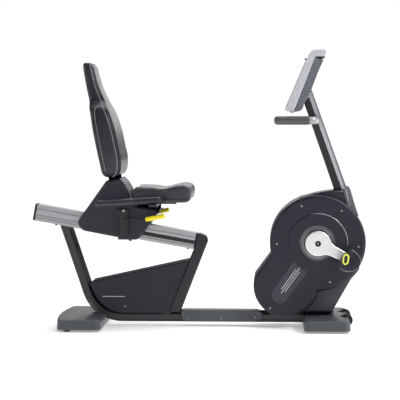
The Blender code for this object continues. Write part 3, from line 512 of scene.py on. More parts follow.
def refined(node, width, steps=3):
    """A copy of a CAD node with its flat faces merged and its edges rounded."""
    bm = bmesh.new()
    bm.from_mesh(NODES[node].data)
    bmesh.ops.remove_doubles(bm, verts=bm.verts, dist=1e-6)
    bmesh.ops.dissolve_limit(bm, angle_limit=math.radians(2), verts=bm.verts, edges=bm.edges)
    edges = [e for e in bm.edges if len(e.link_faces) == 2 and e.calc_face_angle(0) > math.radians(30)]
    bmesh.ops.bevel(bm, geom=edges, offset=width, segments=steps, affect="EDGES", clamp_overlap=True)
    stand_in(finish_mesh(node + "_fine", bm), node)


def screw(name, centre, away, radius, like, recess=True):
    """A dark recessed ring with a bright socket screw in it, facing away from the middle."""
    centre, out = Vector(centre), ACROSS * away
    if recess:
        ring = [(radius * 1.75, -0.001), (radius * 1.75, 0.0006), (radius * 1.55, 0.0009),
                (radius * 1.15, 0.0003), (radius * 1.10, -0.001)]
        put(turned(name + "_ring", ring, centre, 28, True, out), like, "black_plastic")
    head = [(radius, -0.001), (radius, 0.0008), (radius * 0.85, 0.0018), (radius * 0.5, 0.0022),
            (radius * 0.46, 0.0008), (radius * 0.1, 0.0006)]
    put(turned(name, head, centre, 24, False, out), like, "machined_steel")


# ---------------------------------------------------------------- camera, light, floor

def make_stage():
    """A long-lens camera from the bike's right, soft studio light and a pale floor."""
    scene = bpy.context.scene

    def aimed(name, data, place, target):
        obj = bpy.data.objects.new(name, data)
        obj.location = place
        obj.rotation_euler = (Vector(target) - Vector(place)).to_track_quat("-Z", "Y").to_euler()
        scene.collection.objects.link(obj)
        return obj

    camera = aimed("camera", bpy.data.cameras.new("camera"), (0.365, -7.7, 1.052), (0.008, 0.0, 0.644))
    camera.data.lens = 135.9
    camera.data.sensor_width = 36.0
    scene.camera = camera

    world = bpy.data.worlds.new("studio")
    world.use_nodes = True
    tree = world.node_tree
    paper = (1.0, 1.0, 1.0, 1.0)
    seen = set_inputs(tree.nodes["Background"], Color=paper, Strength=1.0)
    lit = set_inputs(tree.nodes.new("ShaderNodeBackground"), Color=paper, Strength=0.17)
    ray, mix = tree.nodes.new("ShaderNodeLightPath"), tree.nodes.new("ShaderNodeMixShader")
    tree.links.new(ray.outputs["Is Camera Ray"], mix.inputs["Fac"])
    tree.links.new(lit.outputs["Background"], mix.inputs[1])
    tree.links.new(seen.outputs["Background"], mix.inputs[2])
    tree.links.new(mix.outputs["Shader"], tree.nodes["World Output"].inputs["Surface"])
    scene.world = world
    scene.view_settings.view_transform = "Standard"

    softboxes = (
        ("key", (3.2, -2.2, 3.0), (0.1, 0.0, 0.7), 0.8, 95.0),
        ("front", (4.2, 0.2, 1.4), (0.0, 0.0, 0.8), 1.4, 50.0),
        ("rear", (-4.0, -2.0, 2.2), (0.0, 0.0, 0.7), 0.8, 40.0),
        ("far", (0.0, 4.5, 2.6), (0.0, 0.0, 0.6), 3.0, 40.0),
    )
    for name, place, target, size, power in softboxes:
        data = bpy.data.lights.new(name, "AREA")
        data.shape = "SQUARE"
        data.size = size
        data.energy = power
        aimed(name, data, place, target)

    data = bpy.data.lights.new("sky", "SUN")
    data.energy = 2.3
    data.angle = math.radians(60)
    sky = bpy.data.objects.new("sky", data)
    sky.rotation_euler = Euler((math.radians(-12), math.radians(14), 0))
    scene.collection.objects.link(sky)

    bm = bmesh.new()
    bmesh.ops.create_grid(bm, x_segments=1, y_segments=1, size=60.0)
    floor = finish_mesh("floor", bm)
    white, tree, shader = shader_of("floor_white", (0.93, 0.93, 0.93), 0.75)
    set_inputs(shader, Emission_Color=paper, Emission_Strength=0.31)
    tint(tree, shader, (0.93, 0.93, 0.93), noise(tree, 0.6), 0.01)
    floor.data.materials.append(white)


# ---------------------------------------------------------------- base

def make_base():
    """One bent tube for the upright and the beam, the post, the panels and the beam cover."""
    bend_radius = 0.180
    lean = math.radians(18.7)
    middle = (BEAM_LOW + BEAM_HIGH) / 2
    bend_centre = (-0.3936, middle + bend_radius)
    bend = arc(bend_centre, bend_radius, -90, -180 + math.degrees(lean), 40)
    line = [(0.690, middle), (0.2, middle), (-0.2, middle), (-0.372, middle)] + bend
    line += [(bend[-1][0] - reach * math.sin(lean), bend[-1][1] + reach * math.cos(lean))
             for reach in (0.15, 0.33)]
    path = [(x, 0, z) for x, z in line]
    half_depth = (BEAM_HIGH - BEAM_LOW) / 2
    # The chamfers face the inside of the bend: above the beam and in front of the upright
    corners = [(half_depth, -0.030), (half_depth, 0.030), (0.019 - half_depth, 0.030), (-half_depth, 0.017),
               (-half_depth, -0.017), (0.019 - half_depth, -0.030)]
    section = counter_clockwise(rounded(corners, [0.009, 0.009, 0.004, 0.004, 0.004, 0.004], 5))
    outer = carried(path, section, ACROSS)
    inner = carried(path, inset(section, 0.003), ACROSS)
    under_rail = Vector(on_rail(0, -RAIL_HALF_HEIGHT - 0.0003, 0))
    rail_normal = Vector(on_rail(0, 1, 0)) - Vector(on_rail(0, 0, 0))
    along = (Vector(path[-1]) - Vector(path[-2])).normalized()
    for loops in (outer, inner):
        loops[-1] = [p + along * ((under_rail - p).dot(rail_normal) / along.dot(rail_normal))
                     for p in loops[-1]]
    frame_tube = bridge("frame_tube", outer + list(reversed(inner)), joined=True)
    put(frame_tube, "base_beam", replaces=("rear_upright", "base_beam"))

    post = rounded(mm((-154, 70), (-91, 70), (51, 436), (41, 463), (12, 476), (-8, 477), (-23.5, 394),
                      (-48, 337)),
                   [0.0, 0.0, 0.024, 0.014, 0.012, 0.0, 0.02, 0.0])
    stand_in(slab("front_post_fine", post, -0.034, 0.034, 0.0095), "front_post")

    rear_edge = arc((bend_centre[0] + 0.012, bend_centre[1]), bend_radius - 0.0175, -92, -160, 24)
    panel = list(reversed(rear_edge)) + mm((-158, 66), (-50, 334), (-540, 227), (-550, 222), (-553, 213))
    rib_line = mm((-538, 229.5), (-45, 338.6))
    joint = mm((-176, 62), (-146, 62), (-38, 331), (-66, 331))
    put(slab("post_joint_fill", joint, -0.0298, 0.0298, 0.0004), "front_post", "black_trim")
    for name, away in SIDES:
        node = "panel_" + name
        stand_in(slab(node + "_fine", panel, away * 0.0308, away * 0.0405, 0.0035), node)
        rib = [(x, away * 0.0345, z + 0.0005) for x, z in smooth_line(rib_line, 6)]
        rib = carried(rib, rectangle(-4.5, -5.5, 4.5, 5.5, 3, 4), UP)
        put(bridge("panel_rib_" + name, rib), node, "grey_plastic")
        screw("panel_screw_" + name, (-0.374, away * 0.0405, 0.102), away, 0.0045, node)
        stripe = rectangle(-490, 149.6, -374, 152.8, 1.2, 3)
        put(slab("panel_line_" + name, stripe, away * 0.0402, away * 0.0409, 0.0002), node, "silver_plastic")

    outline = rounded(mm((-86, 27), (272, 27), (318, 37), (333, 57), (322, 76), (296, 83.5), (-86, 83.5)),
                      [0.026, 0.02, 0.012, 0.008, 0.010, 0.02, 0.014])
    for name, away in SIDES:
        put(slab("base_cover_" + name, outline, away * 0.0312, away * 0.0415, 0.004), "base_cover",
            replaces=("base_cover",) if away < 0 else ())
        for number, x in enumerate((-0.050, 0.119, 0.291)):
            screw(f"cover_screw_{name}_{number}", (x, away * 0.0415, 0.040 + 0.008 * (number == 2)), away,
                  0.0036, "base_cover", recess=False)
    top = rectangle(-84, 80.4, 300, 83.6, 1, 3)
    put(slab("base_cover_top", top, -0.0311, 0.0311, 0.0005), "base_cover", "black_trim")


def foot_outline(rear, front, bow, corner):
    """A foot from above, its rear edge bowed out in the middle."""
    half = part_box("rear_foot")[1].y
    corners = [(rear, -half), (front, -half), (front, half), (rear, half)]
    radii = [corner] * 4
    if bow:
        shares = [0.6 - 0.1 * i for i in range(13)]
        corners += [(rear - bow * (1 - share * share), half * share) for share in shares]
        radii += [0.0] * len(shares)
    return rounded(corners, radii, 10)


def make_feet():
    """The two feet, each a skirt under a raised crown, and the levellers' pads and threads."""
    for name, bow, wide in (("rear_foot", 0.024, 0.030), ("front_foot", 0.0, 0.032)):
        low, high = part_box(name)
        top = high.z
        skirt = [(step, low.z + rise) for step, rise in mm((1, 0), (0, 2), (0, 14), (1.6, 26))]
        crown = [(0.0016 + step, top - down) for step, down in quarter(0.013, 0.011, 6)]
        crown += [(step, top - down)
                  for step, down in mm((20, 0.2), (21.5, 1.2), (24, 1.2), (25.5, 0.2), (30, 0))]
        levels = [(0.0035, top - 0.014), (0.0035, low.z)] + skirt + crown
        outline = foot_outline(low.x + bow, high.x, bow, wide)
        foot = stand_in(stack(name + "_fine", outline, levels, plan), name)
        slot_low, slot_high = (-0.545, -0.440) if name == "rear_foot" else (0.525, 0.692)
        cut_box(foot, "cut_" + name, (slot_low, -0.0312, -0.01), (slot_high, 0.0312, 0.1))
        if name == "front_foot":
            for side_name, away in SIDES:
                cut_box(foot, "cut_bay_" + side_name, (0.716, away * 0.1 - 0.0165, -0.01),
                        (0.80, away * 0.1 + 0.0165, 0.1))
    for node in [n for n in NODES if n.startswith("leveller_")]:
        low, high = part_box(node)
        centre = Vector(((low.x + high.x) / 2, (low.y + high.y) / 2, 0.0))
        profile = mm((12.5, 0), (14.5, 0.6), (16, 2.2), (16, 6), (15.2, 7.2), (9, 9.5), (8.5, 10.5))
        profile += [(0.0066 + 0.0009 * (i % 2), 0.0115 + 0.0013 * i) for i in range(22)]
        stand_in(turned(node + "_fine", profile + [(0.005, high.z)], centre, 32, axis=UP), node)


def cut_box(target, name, low, high):
    """Cuts a plain box out of a piece and applies the cut."""
    bm = bmesh.new()
    bmesh.ops.create_cube(bm, size=1.0)
    middle = (Vector(low) + Vector(high)) / 2
    size = Vector(high) - Vector(low)
    bmesh.ops.transform(bm, matrix=Matrix.Translation(middle) @ Matrix.Diagonal((*size, 1.0)), verts=bm.verts)
    cut_with(target, finish_mesh(name, bm))


def evaluated(obj):
    """A new mesh of a piece with its modifiers applied."""
    bpy.context.view_layer.update()
    graph = bpy.context.evaluated_depsgraph_get()
    return bpy.data.meshes.new_from_object(obj.evaluated_get(graph), depsgraph=graph)


def cut_with(target, tool):
    """Subtracts tool from target, applies the cut and removes the tool."""
    modifier = target.modifiers.new(tool.name, "BOOLEAN")
    modifier.operation = "DIFFERENCE"
    modifier.solver = "EXACT"
    modifier.object = tool
    target.modifiers.move(len(target.modifiers) - 1, 0)
    weights = target.modifiers["weights"]
    weights.show_viewport = False
    mesh = evaluated(target)
    target.modifiers.remove(modifier)
    target.data = mesh
    weights.show_viewport = True
    mesh.set_sharp_from_angle(angle=SHARP)
    bpy.data.objects.remove(tool)


def make_wheels():
    """Transport wheels: a grooved tyre and a dished hub."""
    for name, _ in SIDES:
        centre = PLACE[name + "_wheel_roll"]
        tyre = mirrored(mm((20, -13), (29, -13), (31.2, -11.8), (32, -9), (32, -5), (30.5, -4.4),
                           (30.5, -2.6), (32, -2)))
        stand_in(turned("wheel_tyre_" + name, tyre, centre, 64, True), "transport_wheel_" + name)
        hub = mirrored(mm((4, -15), (8.5, -15), (10, -14), (10.5, -10), (18.5, -9), (19.9, -12)))
        put(turned("wheel_hub_" + name, hub, centre, 48), "transport_wheel_" + name, "grey_plastic")


# ---------------------------------------------------------------- rail

def make_rail():
    """The grooved rail, its cap and rack, with the bolts under it."""
    refined("seat_rail", 0.0008, steps=2)
    refined("adjust_rack", 0.0005, steps=1)
    refined("rail_end_cap", 0.0015)
    under = -RAIL_HALF_HEIGHT
    down = Vector(on_rail(0, -1, 0)) - Vector(on_rail(0, 0, 0))
    for number, x in enumerate((-0.719, -0.045)):
        for name, away in SIDES:
            centre = Vector(on_rail(away * 0.030, under, rail_distance(x)))
            head = mm((8.5, -1), (8.5, 1.2), (6, 1.4), (6, 5.5), (5.2, 6.4), (3, 6.4), (2.6, 4), (0.5, 4))
            put(turned(f"rail_bolt_{name}_{number}", head, centre, 24, False, down), "seat_rail",
                "black_trim")


# ---------------------------------------------------------------- housing

DISC_FOOT, DISC_WAIST = -91.2, 193.3
LOBE_WAIST, LOBE_FOOT = 159.4, 350.7


def disc_arc(start, end, steps, radius=DISC_RADIUS):
    return arc((CRANK.x, CRANK.z), radius, start, end, steps)


def lobe_arc(start, end, steps, radius=LOBE_RADIUS):
    return arc((FLYWHEEL.x, FLYWHEEL.z), radius, start, end, steps)


def make_housing():
    """The core shells, the raised covers with their disc, dish, badge and screws, and the column."""
    crown = smooth_line(mm((686, 699), (640, 693.5), (593, 684), (553, 672.5), (522, 665)), 5)
    outline = disc_arc(DISC_FOOT, 49.0, 70) + mm((743, 699)) + crown + disc_arc(127.5, DISC_WAIST, 34)[1:]
    outline += lobe_arc(LOBE_WAIST, LOBE_FOOT - 2, 90)[1:]
    panel = disc_arc(DISC_FOOT, DISC_WAIST, 150) + lobe_arc(LOBE_WAIST, LOBE_FOOT - 2, 90)[1:]
    for name, away in SIDES:
        half = cover("housing_" + name + "_fine", outline, away * 0.0003, away * CORE_HALF_WIDTH, 0.0035,
                     0.012, 0.014)
        stand_in(half, "housing_" + name)
        make_cover(name, away, panel)

    column = disc_arc(DISC_FOOT, -29.3, 30, DISC_RADIUS + 0.0004)
    column += [(0.683, BEAM_HIGH + 0.0003), (0.5445, BEAM_HIGH + 0.0003)]
    column += lobe_arc(-47.0, LOBE_FOOT - 362, 16, LOBE_RADIUS + 0.0006)
    stand_in(slab("front_column_fine", column, -0.055, 0.055, 0.010), "front_column", "column_grey")


def make_cover(name, away, panel):
    """One raised cover: rounded rim, raised disc with a painted highlight line along its upper front, dished ring
    round the crank, a painted-shade crease line, and what is fixed on it.
    """
    node = "side_cover_" + name
    face = away * COVER_HALF_WIDTH
    panel = counter_clockwise(panel)
    back = away * (CORE_HALF_WIDTH + 0.0003)

    def ring(radius):
        """A circle round the crank whose points follow the panel's points by angle."""
        turns = [math.atan2(z - CRANK.z, x - CRANK.x) for x, z in panel]
        return [(CRANK.x + radius * math.cos(t), CRANK.z + radius * math.sin(t)) for t in turns]

    rim = 0.0165
    levels = [(inset(panel, 0.0035), back), (panel, back)]
    levels += [(inset(panel, step), face - away * down) for step, down in quarter(rim, 0.011, 10)]
    levels += [(inset(panel, rim + 0.001), face)]
    step_up = mm((151.5, 0), (150, 0.6), (149, 3), (147.8, 4.2), (146, 4.8), (144, 5))
    dish = mm((92.5, 5), (90.5, 4.4), (88, 2), (84, -3), (78, -7), (70, -8.5), (40, -8.5), (39, -12))
    levels += [(ring(radius), face + away * rise) for radius, rise in step_up + dish]
    levels += [(ring(0.0400), face - away * 0.0155), (inset(panel, rim + 0.003), face - away * 0.0155)]
    loops = [[side(x, z, y) for x, z in loop] for loop, y in levels]
    stand_in(bridge(node + "_fine", loops, joined=True), node)

    # A painted highlight: a bright silver line, thinning at both ends, along the upper front of the raised disc
    # only, where light catches its step; and a satin ring lines the dish
    line = [(x, face + away * 0.0022, z) for x, z in arc((CRANK.x, CRANK.z), 0.1496, -6, 106, 60)]
    widths = [0.0026 * min(1.0, 0.15 + 6 * i / len(line), 0.15 + 6 * (len(line) - 1 - i) / len(line))
              for i in range(len(line))]
    loops = carried(line, circle(1.0, 10), ACROSS)
    loops = [[Vector(at) + (p - Vector(at)) * width for p in loop]
             for at, loop, width in zip(line, loops, widths)]
    put(bridge("disc_highlight_line_" + name, loops), node, "edging_grey")

    lining = mm((90, 5.3), (88.5, 4), (84.5, -1.8), (78.5, -6), (70.5, -7.6), (69, -7.6), (69, -8.4),
                (70.5, -8.2), (79, -6.4), (85, -2.4), (89.5, 4.4))
    centre = Vector((CRANK.x, face, CRANK.z))
    put(turned("dish_lining_" + name, lining, centre, 96, True, ACROSS * away), node, "dish_grey")

    for number, (x, z) in enumerate(mm((524, 621), (725, 598), (400, 430), (809, 418),
                                       (668, 239), (367, 105))):
        screw(f"cover_screw_{name}_{number + 3}", (x, face, z), away, 0.0050, node)

    ends = mm((417, 173), (522, 319))
    heading = math.degrees(math.atan2(ends[1][1] - ends[0][1], ends[1][0] - ends[0][0]))
    pill = capsule(*ends, 0.043, heading, 28)
    put(slab("badge_" + name, pill, face - away * 0.0005, face + away * 0.0013, 0.0012), node, "badge_grey")
    along = Vector((math.cos(math.radians(heading)), math.sin(math.radians(heading))))
    across = Vector((-along.y, along.x))
    middle = (Vector(ends[0]) + Vector(ends[1])) / 2
    for number, (offset, reach) in enumerate(((-0.011, 0.062), (0.0, 0.078), (0.011, 0.062))):
        start = middle + across * offset - along * reach
        end = middle + across * offset + along * reach
        bar = capsule(start, end, 0.0017, heading, 6)
        put(slab(f"badge_bar_{name}_{number}", bar, face + away * 0.0010, face + away * 0.0019, 0.0003), node,
            "silver_plastic")

    # A thin black line drawn on the cover's face: painted shade of a crease
    shaded_crease = smooth_line(mm((693, 316), (664, 268), (640, 232), (624, 205)), 6)
    path = [(x, face + away * 0.0002, z) for x, z in shaded_crease]
    put(swept("crease_shade_line_" + name, path, 0.0011, ACROSS, 8), node, "black_plastic")


# ---------------------------------------------------------------- cranks and pedals

def turn_about(points, centre, angle):
    c, s = math.cos(angle), math.sin(angle)
    return [(centre.x + x * c - z * s, centre.z + x * s + z * c) for x, z in points]


def crank_outline():
    """A crank from its side, pointing along +x: a round hub that flows into a tapered arm."""
    hub = arc((0, 0), HUB_RADIUS, 40, 320, 72)
    x, z = hub[-1]
    lower = smooth_line([(x, z), (0.0600, -0.0345), (0.0760, -0.0292), (0.110, -0.0262),
                         (0.150, -0.0238)], 6)[1:]
    low = lower + arc((CRANK_LENGTH + 0.009, -0.0152), 0.008, -90, 0, 6)
    return hub + mirrored(low)


def make_cranks():
    """Cranks with bolt recess and bolt, pedals with treads, end rings and straps."""
    for name, away in SIDES:
        spindle = PLACE[name + "_pedal_spin"]
        angle = math.atan2(spindle.z - CRANK.z, spindle.x - CRANK.x)
        outer = away * CRANK_OUTER
        outline = turn_about(crank_outline(), CRANK, angle)
        levels = [(0.0020, away * CRANK_INNER), (0.0006, away * (CRANK_INNER + 0.0006)),
                  (0.0, away * (CRANK_INNER + 0.002))]
        levels += [(step, outer - away * down) for step, down in quarter(0.0055, 0.0050, 7)]
        crank = stand_in(stack("crank_" + name + "_fine", outline, levels), "crank_" + name)
        centre = Vector((CRANK.x, outer, CRANK.z))
        out = ACROSS * away
        cutter = turned("cut_recess_" + name, mm((15, -12), (15, 0), (17, 2), (17, 10)), centre, 48, axis=out)
        cut_with(crank, cutter)
        cap = mm((14.8, -11.9), (14.8, -4), (14, -3.2), (11.5, -3.2), (10.5, -5), (7.5, -5), (6.8, -3.6),
                 (5, -3.2), (4.2, -8), (0.5, -8.2))
        put(turned("crank_bolt_" + name, cap, centre, 36, False, out), "crank_" + name, "black_trim")
        make_pedal(name, away, spindle)


def make_pedal(name, away, spindle):
    """A ribbed tread on a steel spindle, a pointed end ring and a strap."""
    node = "pedal_" + name
    inner, outer = away * (CRANK_OUTER + 0.011), away * 0.262
    tread = rounded(mirrored(mm((-52, -8.5), (-30, -13), (30, -13), (52, -8.5))), 0.004, 5)
    body = slab(node + "_fine", turn_about(tread, spindle, PEDAL_TILT), inner, outer, 0.0025)
    stand_in(body, node)
    for number in range(7):
        x = -0.042 + 0.014 * number
        top = 0.0137 if abs(x) < 0.031 else 0.0137 - (abs(x) - 0.030) * 0.2
        rib = rounded([(x - 0.0022, -top), (x + 0.0022, -top), (x + 0.0022, top), (x - 0.0022, top)],
                      0.0008, 3)
        rib = turn_about(rib, spindle, PEDAL_TILT)
        put(slab(f"tread_rib_{name}_{number}", rib, inner + away * 0.006, outer - away * 0.006, 0.0008), node,
            "black_rubber")
    collar = [(0.0105, CRANK_OUTER - 0.001), (0.0105, CRANK_OUTER + 0.003), (0.0085, CRANK_OUTER + 0.004),
              (0.0085, CRANK_OUTER + 0.012)]
    centre = Vector((spindle.x, 0, spindle.z))
    put(turned("pedal_spindle_" + name, collar, centre, 32, axis=ACROSS * away), node, "machined_steel")

    # The end ring is an upright long hexagon with a dark core
    turn = math.radians(-8)
    hexagon = mm((0, -32), (15.5, -17), (15.5, 17), (0, 32), (-15.5, 17), (-15.5, -17))
    outline = counter_clockwise(rounded(turn_about(hexagon, spindle, turn), 0.0085, 5))
    levels = [(0.0072, away * 0.2655), (0.0072, away * 0.2675), (0.0045, away * 0.2680),
              (0.0010, away * 0.2672), (0.0, away * 0.2655), (0.0, away * 0.2625), (0.0045, away * 0.2622),
              (0.0072, away * 0.2622)]
    put(stack("pedal_ring_" + name, outline, levels, joined=True), node, "lime_plastic")
    core = slab("pedal_core_" + name, inset(outline, 0.0070), away * 0.2615, away * 0.2660, 0.0010)
    put(core, node, "black_plastic", slot=SLOTS[node])

    strap_line = mm((-54, 0), (-54.5, -14), (-49, -37), (-25, -65.5), (10.2, -75.7), (41, -61.5), (54, -27),
                    (54, 0))
    fine = smooth_line(strap_line, 10)
    points = [(x, away * 0.217, z) for x, z in turn_about(fine, spindle, PEDAL_TILT)]
    section = [(b, a) for a, b in rectangle(-29, -1.4, 29, 1.4, 1.2, 3)]
    loops = carried(points, section, ACROSS)
    strap = bridge("pedal_strap_" + name + "_fine", loops)
    stand_in(strap, "pedal_strap_" + name, "strap_grey")
    for edge in (-0.0265, 0.0265):
        line = [(x, away * 0.217 + edge, z) for x, z in turn_about(fine, spindle, PEDAL_TILT)]
        put(swept(f"strap_hem_{name}_{'in' if edge * away < 0 else 'out'}", line, 0.0019, ACROSS, 8),
            "pedal_strap_" + name, "grip_grey")


# ---------------------------------------------------------------- mast, bar and console

def make_mast():
    """The silver mast with its spine over the housing, its dark rear cover, and a grey band of painted shade along
    each side's front edge.
    """
    top = mm((574.5, 1205), (559, 1171))
    spine = mm((743.6, 700), (764.6, 618)) + list(reversed(disc_arc(33, 48, 16, DISC_RADIUS + 0.0006)))
    outer = mm((815.5, 565), (795, 622), (772, 701), (765, 716), (750.5, 718.5))
    mast = slab("mast_fine", top + mm((728.5, 702)) + spine + outer, -0.036, 0.036, 0.0025)
    # A darker grey band along the front edge of each side: painted shade where the chamfer reflects darker
    # surroundings
    shade_band = mm((574.3, 1204), (570.2, 1196.5), (745.2, 702), (753, 700), (770, 622), (793, 568), (815, 566),
              (795.4, 622), (772.4, 701), (765, 715.6), (750.8, 718))
    for name, away in SIDES:
        put(slab("mast_front_shade_band_" + name, shade_band, away * 0.0350, away * 0.0364, 0.0006), "mast",
            "console_grey")
    rear = slab("mast_rear_cover_fine",
                mm((558.3, 1170), (537.6, 1137.5), (688, 708), (688, 700.5), (727.5, 700.5)),
                -0.033, 0.033, 0.0055)
    stand_in(mast, "mast")
    stand_in(rear, "mast_rear_cover", "black_plastic", SLOTS["mast_rear_cover"])
    bar = Vector((BAR_CROSS_X, 0, BAR_HEIGHT))
    for piece in (mast, rear):
        tool = turned("cut_bar", [(BAR_RADIUS + 0.0003, -0.1), (BAR_RADIUS + 0.0003, 0.1)], bar, 64)
        cut_with(piece, tool)


def make_handlebar():
    """The bar with its bends, a grip on each end, and a clamp ring at the mast."""
    turn = 0.030
    bend = arc((BAR_CROSS_X - turn, -(BAR_SPREAD - turn)), turn, -90, 0, 16)
    half = [(0.405, -BAR_SPREAD), (0.50, -BAR_SPREAD)] + bend
    path = [(x, y, BAR_HEIGHT) for x, y in half] + [(x, -y, BAR_HEIGHT) for x, y in reversed(half)]
    bar = bridge("handlebar_fine", carried(path, circle(BAR_RADIUS, 40), UP))
    # The bar takes the darker silver copy: painted shade
    stand_in(bar, "handlebar", "bar_grey")
    for name, away in SIDES:
        start = Vector((0.3858, away * BAR_SPREAD, BAR_HEIGHT))
        profile = mm((4, 0), (11, 1), (16.5, 3.8), (19.8, 8.5), (21.2, 14), (21.5, 20))
        for i in range(11):
            x = 0.034 + 0.0095 * i
            profile += [(0.0215, x), (0.0210, x + 0.0012), (0.0210, x + 0.0022), (0.0215, x + 0.0034)]
        profile += mm((21.5, 164), (20.8, 170), (19.4, 174), (19.2, 174), (19.2, 19.4), (4, 19))
        stand_in(turned("hand_grip_" + name + "_fine", profile, start, 48, False, AHEAD), "hand_grip_" + name,
            "grip_grey")
        ring = Vector((BAR_CROSS_X, away * 0.0362, BAR_HEIGHT))
        clamp = mm((19.3, 0), (23.5, 0), (24, 1), (24, 5), (22.5, 6.6), (19.3, 6.6))
        put(turned("bar_collar_" + name, clamp, ring, 48, True, ACROSS * away), "handlebar", "black_plastic")


def on_console(*points):
    """Points (along, deep) in millimetres on the console's tilted face as (x, z) in metres."""
    c, s = math.cos(CONSOLE_TILT), math.sin(CONSOLE_TILT)
    return [(0.449 + along * s + deep * c, 1.102 + along * c - deep * s) for along, deep in mm(*points)]


CONSOLE_BACK_EDGE = mm((527, 1110), (533, 1133), (550, 1163), (566, 1194), (626, 1358))


def make_console():
    """The silver frame with its hooked top, the grey back, the display, keys, small fittings, and a black sheet of
    painted shade in the gap under the hook.
    """
    bezel = rounded(mm((438, 1101), (550, 1366), (571, 1398), (617, 1402), (640, 1398), (644, 1392),
                       (636, 1366.5), (588, 1366.5), (481, 1091)),
                    [0.0, 0.03, 0.022, 0.01, 0.0045, 0.0035, 0.004, 0.002, 0.0], 7)
    half = CONSOLE_HALF_WIDTH
    out = Vector((-math.cos(CONSOLE_TILT), 0, math.sin(CONSOLE_TILT)))
    up = Vector((math.sin(CONSOLE_TILT), 0, math.cos(CONSOLE_TILT)))
    body = slab("console_bezel_fine", bezel, -half, half, 0.0030)
    stand_in(body, "console_bezel")
    face = on_console((12, -30), (270, -30), (270, 0), (12, 0))
    cut_with(body, stack("cut_face", rounded(face, 0.004, 4), mm((0, -176), (0, 176))))
    window = on_console((75, -10), (262, -10), (262, 8), (75, 8))
    cut_with(body, stack("cut_window", window, mm((0, -160), (0, 160))))
    for node in ("key_minus", "key_plus"):
        low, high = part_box(node)
        x, z = on_console((36, 0))[0]
        centre = Vector((x, (low.y + high.y) / 2, z))
        cut_with(body, turned("cut_" + node, mm((12.5, -8), (12.5, 10)), centre, 48, axis=out))
        cap = mm((11.8, -5.5), (12, -5), (12, 1), (11.4, 2), (9.8, 2.4), (7, 1.8), (2, 1.5))
        stand_in(turned(node + "_fine", cap, centre, 40, axis=out), node)
        marks = mm((4.5, 1.1), (1.1, 4.5))[:1 if node == "key_minus" else 2]
        for number, (wide, tall) in enumerate(marks):
            bm = bmesh.new()
            for depth in (0.0012, 0.0023):
                for sy, sz in ((-1, -1), (1, -1), (1, 1), (-1, 1)):
                    bm.verts.new(centre + out * depth + Vector((0, sy * wide, 0)) + up * sz * tall)
            bmesh.ops.convex_hull(bm, input=bm.verts)
            put(finish_mesh(f"{node}_mark_{number}", bm), node, "silver_plastic")
    refined("console_screen", 0.0006, steps=2)

    back = rounded(mm((483, 1092.5), (515, 1098)) + CONSOLE_BACK_EDGE + mm((588.5, 1365.2)),
                   [0.0, 0.012, 0.012, 0.012, 0.01, 0.01, 0.006, 0.0], 6)
    stand_in(slab("console_back_fine", back, -half + 0.0015, half - 0.0015, 0.004), "console_back",
             "back_grey")

    strip = on_console((-0.6, 0), (5.6, 0), (5.6, 34.5), (-0.6, 34.5))
    put(slab("console_foot_strip", rounded(strip, 0.0012, 3), -half + 0.0005, half - 0.0005, 0.0008),
        "console_bezel", "black_plastic")
    lip = on_console((21.5, -13), (23.5, -13), (25.5, 1), (19.5, 1))
    put(slab("console_lip", rounded(lip, 0.0006, 3), -0.120, 0.120, 0.0005), "console_bezel",
        "silver_plastic")
    x, z = on_console((275, 0))[0]
    stem = mm((3, -2), (3, 5), (5.5, 6), (6.2, 8.5), (5.2, 11), (1.5, 12))
    put(turned("console_lamp", stem, Vector((x, 0, z)), 28, axis=out), "console_bezel", "black_plastic")
    # A black sheet in the gap under the hook: painted shade
    shade = mm((588.5, 1362.5), (627, 1358), (634, 1361), (636, 1366.3), (588.5, 1366.3))
    put(slab("console_top_gap_shade", shade, -half + 0.001, half - 0.001, 0.0006), "console_back", "black_plastic")


# ---------------------------------------------------------------- seat

CARRIAGE = mm((-461, 746), (-604, 545), (-604, 528), (-596, 510), (-576, 493), (-402, 460), (-402, 448),
              (-306, 448), (-288, 462), (-175, 619), (-322, 619), (-328, 661), (-343, 698), (-365, 735),
              (-387, 760))
CARRIAGE_RADII = [0.014, 0.016, 0.016, 0.016, 0.020, 0.0, 0.0, 0.020, 0.020, 0.012, 0.004, 0.020, 0.020,
                  0.020, 0.012]


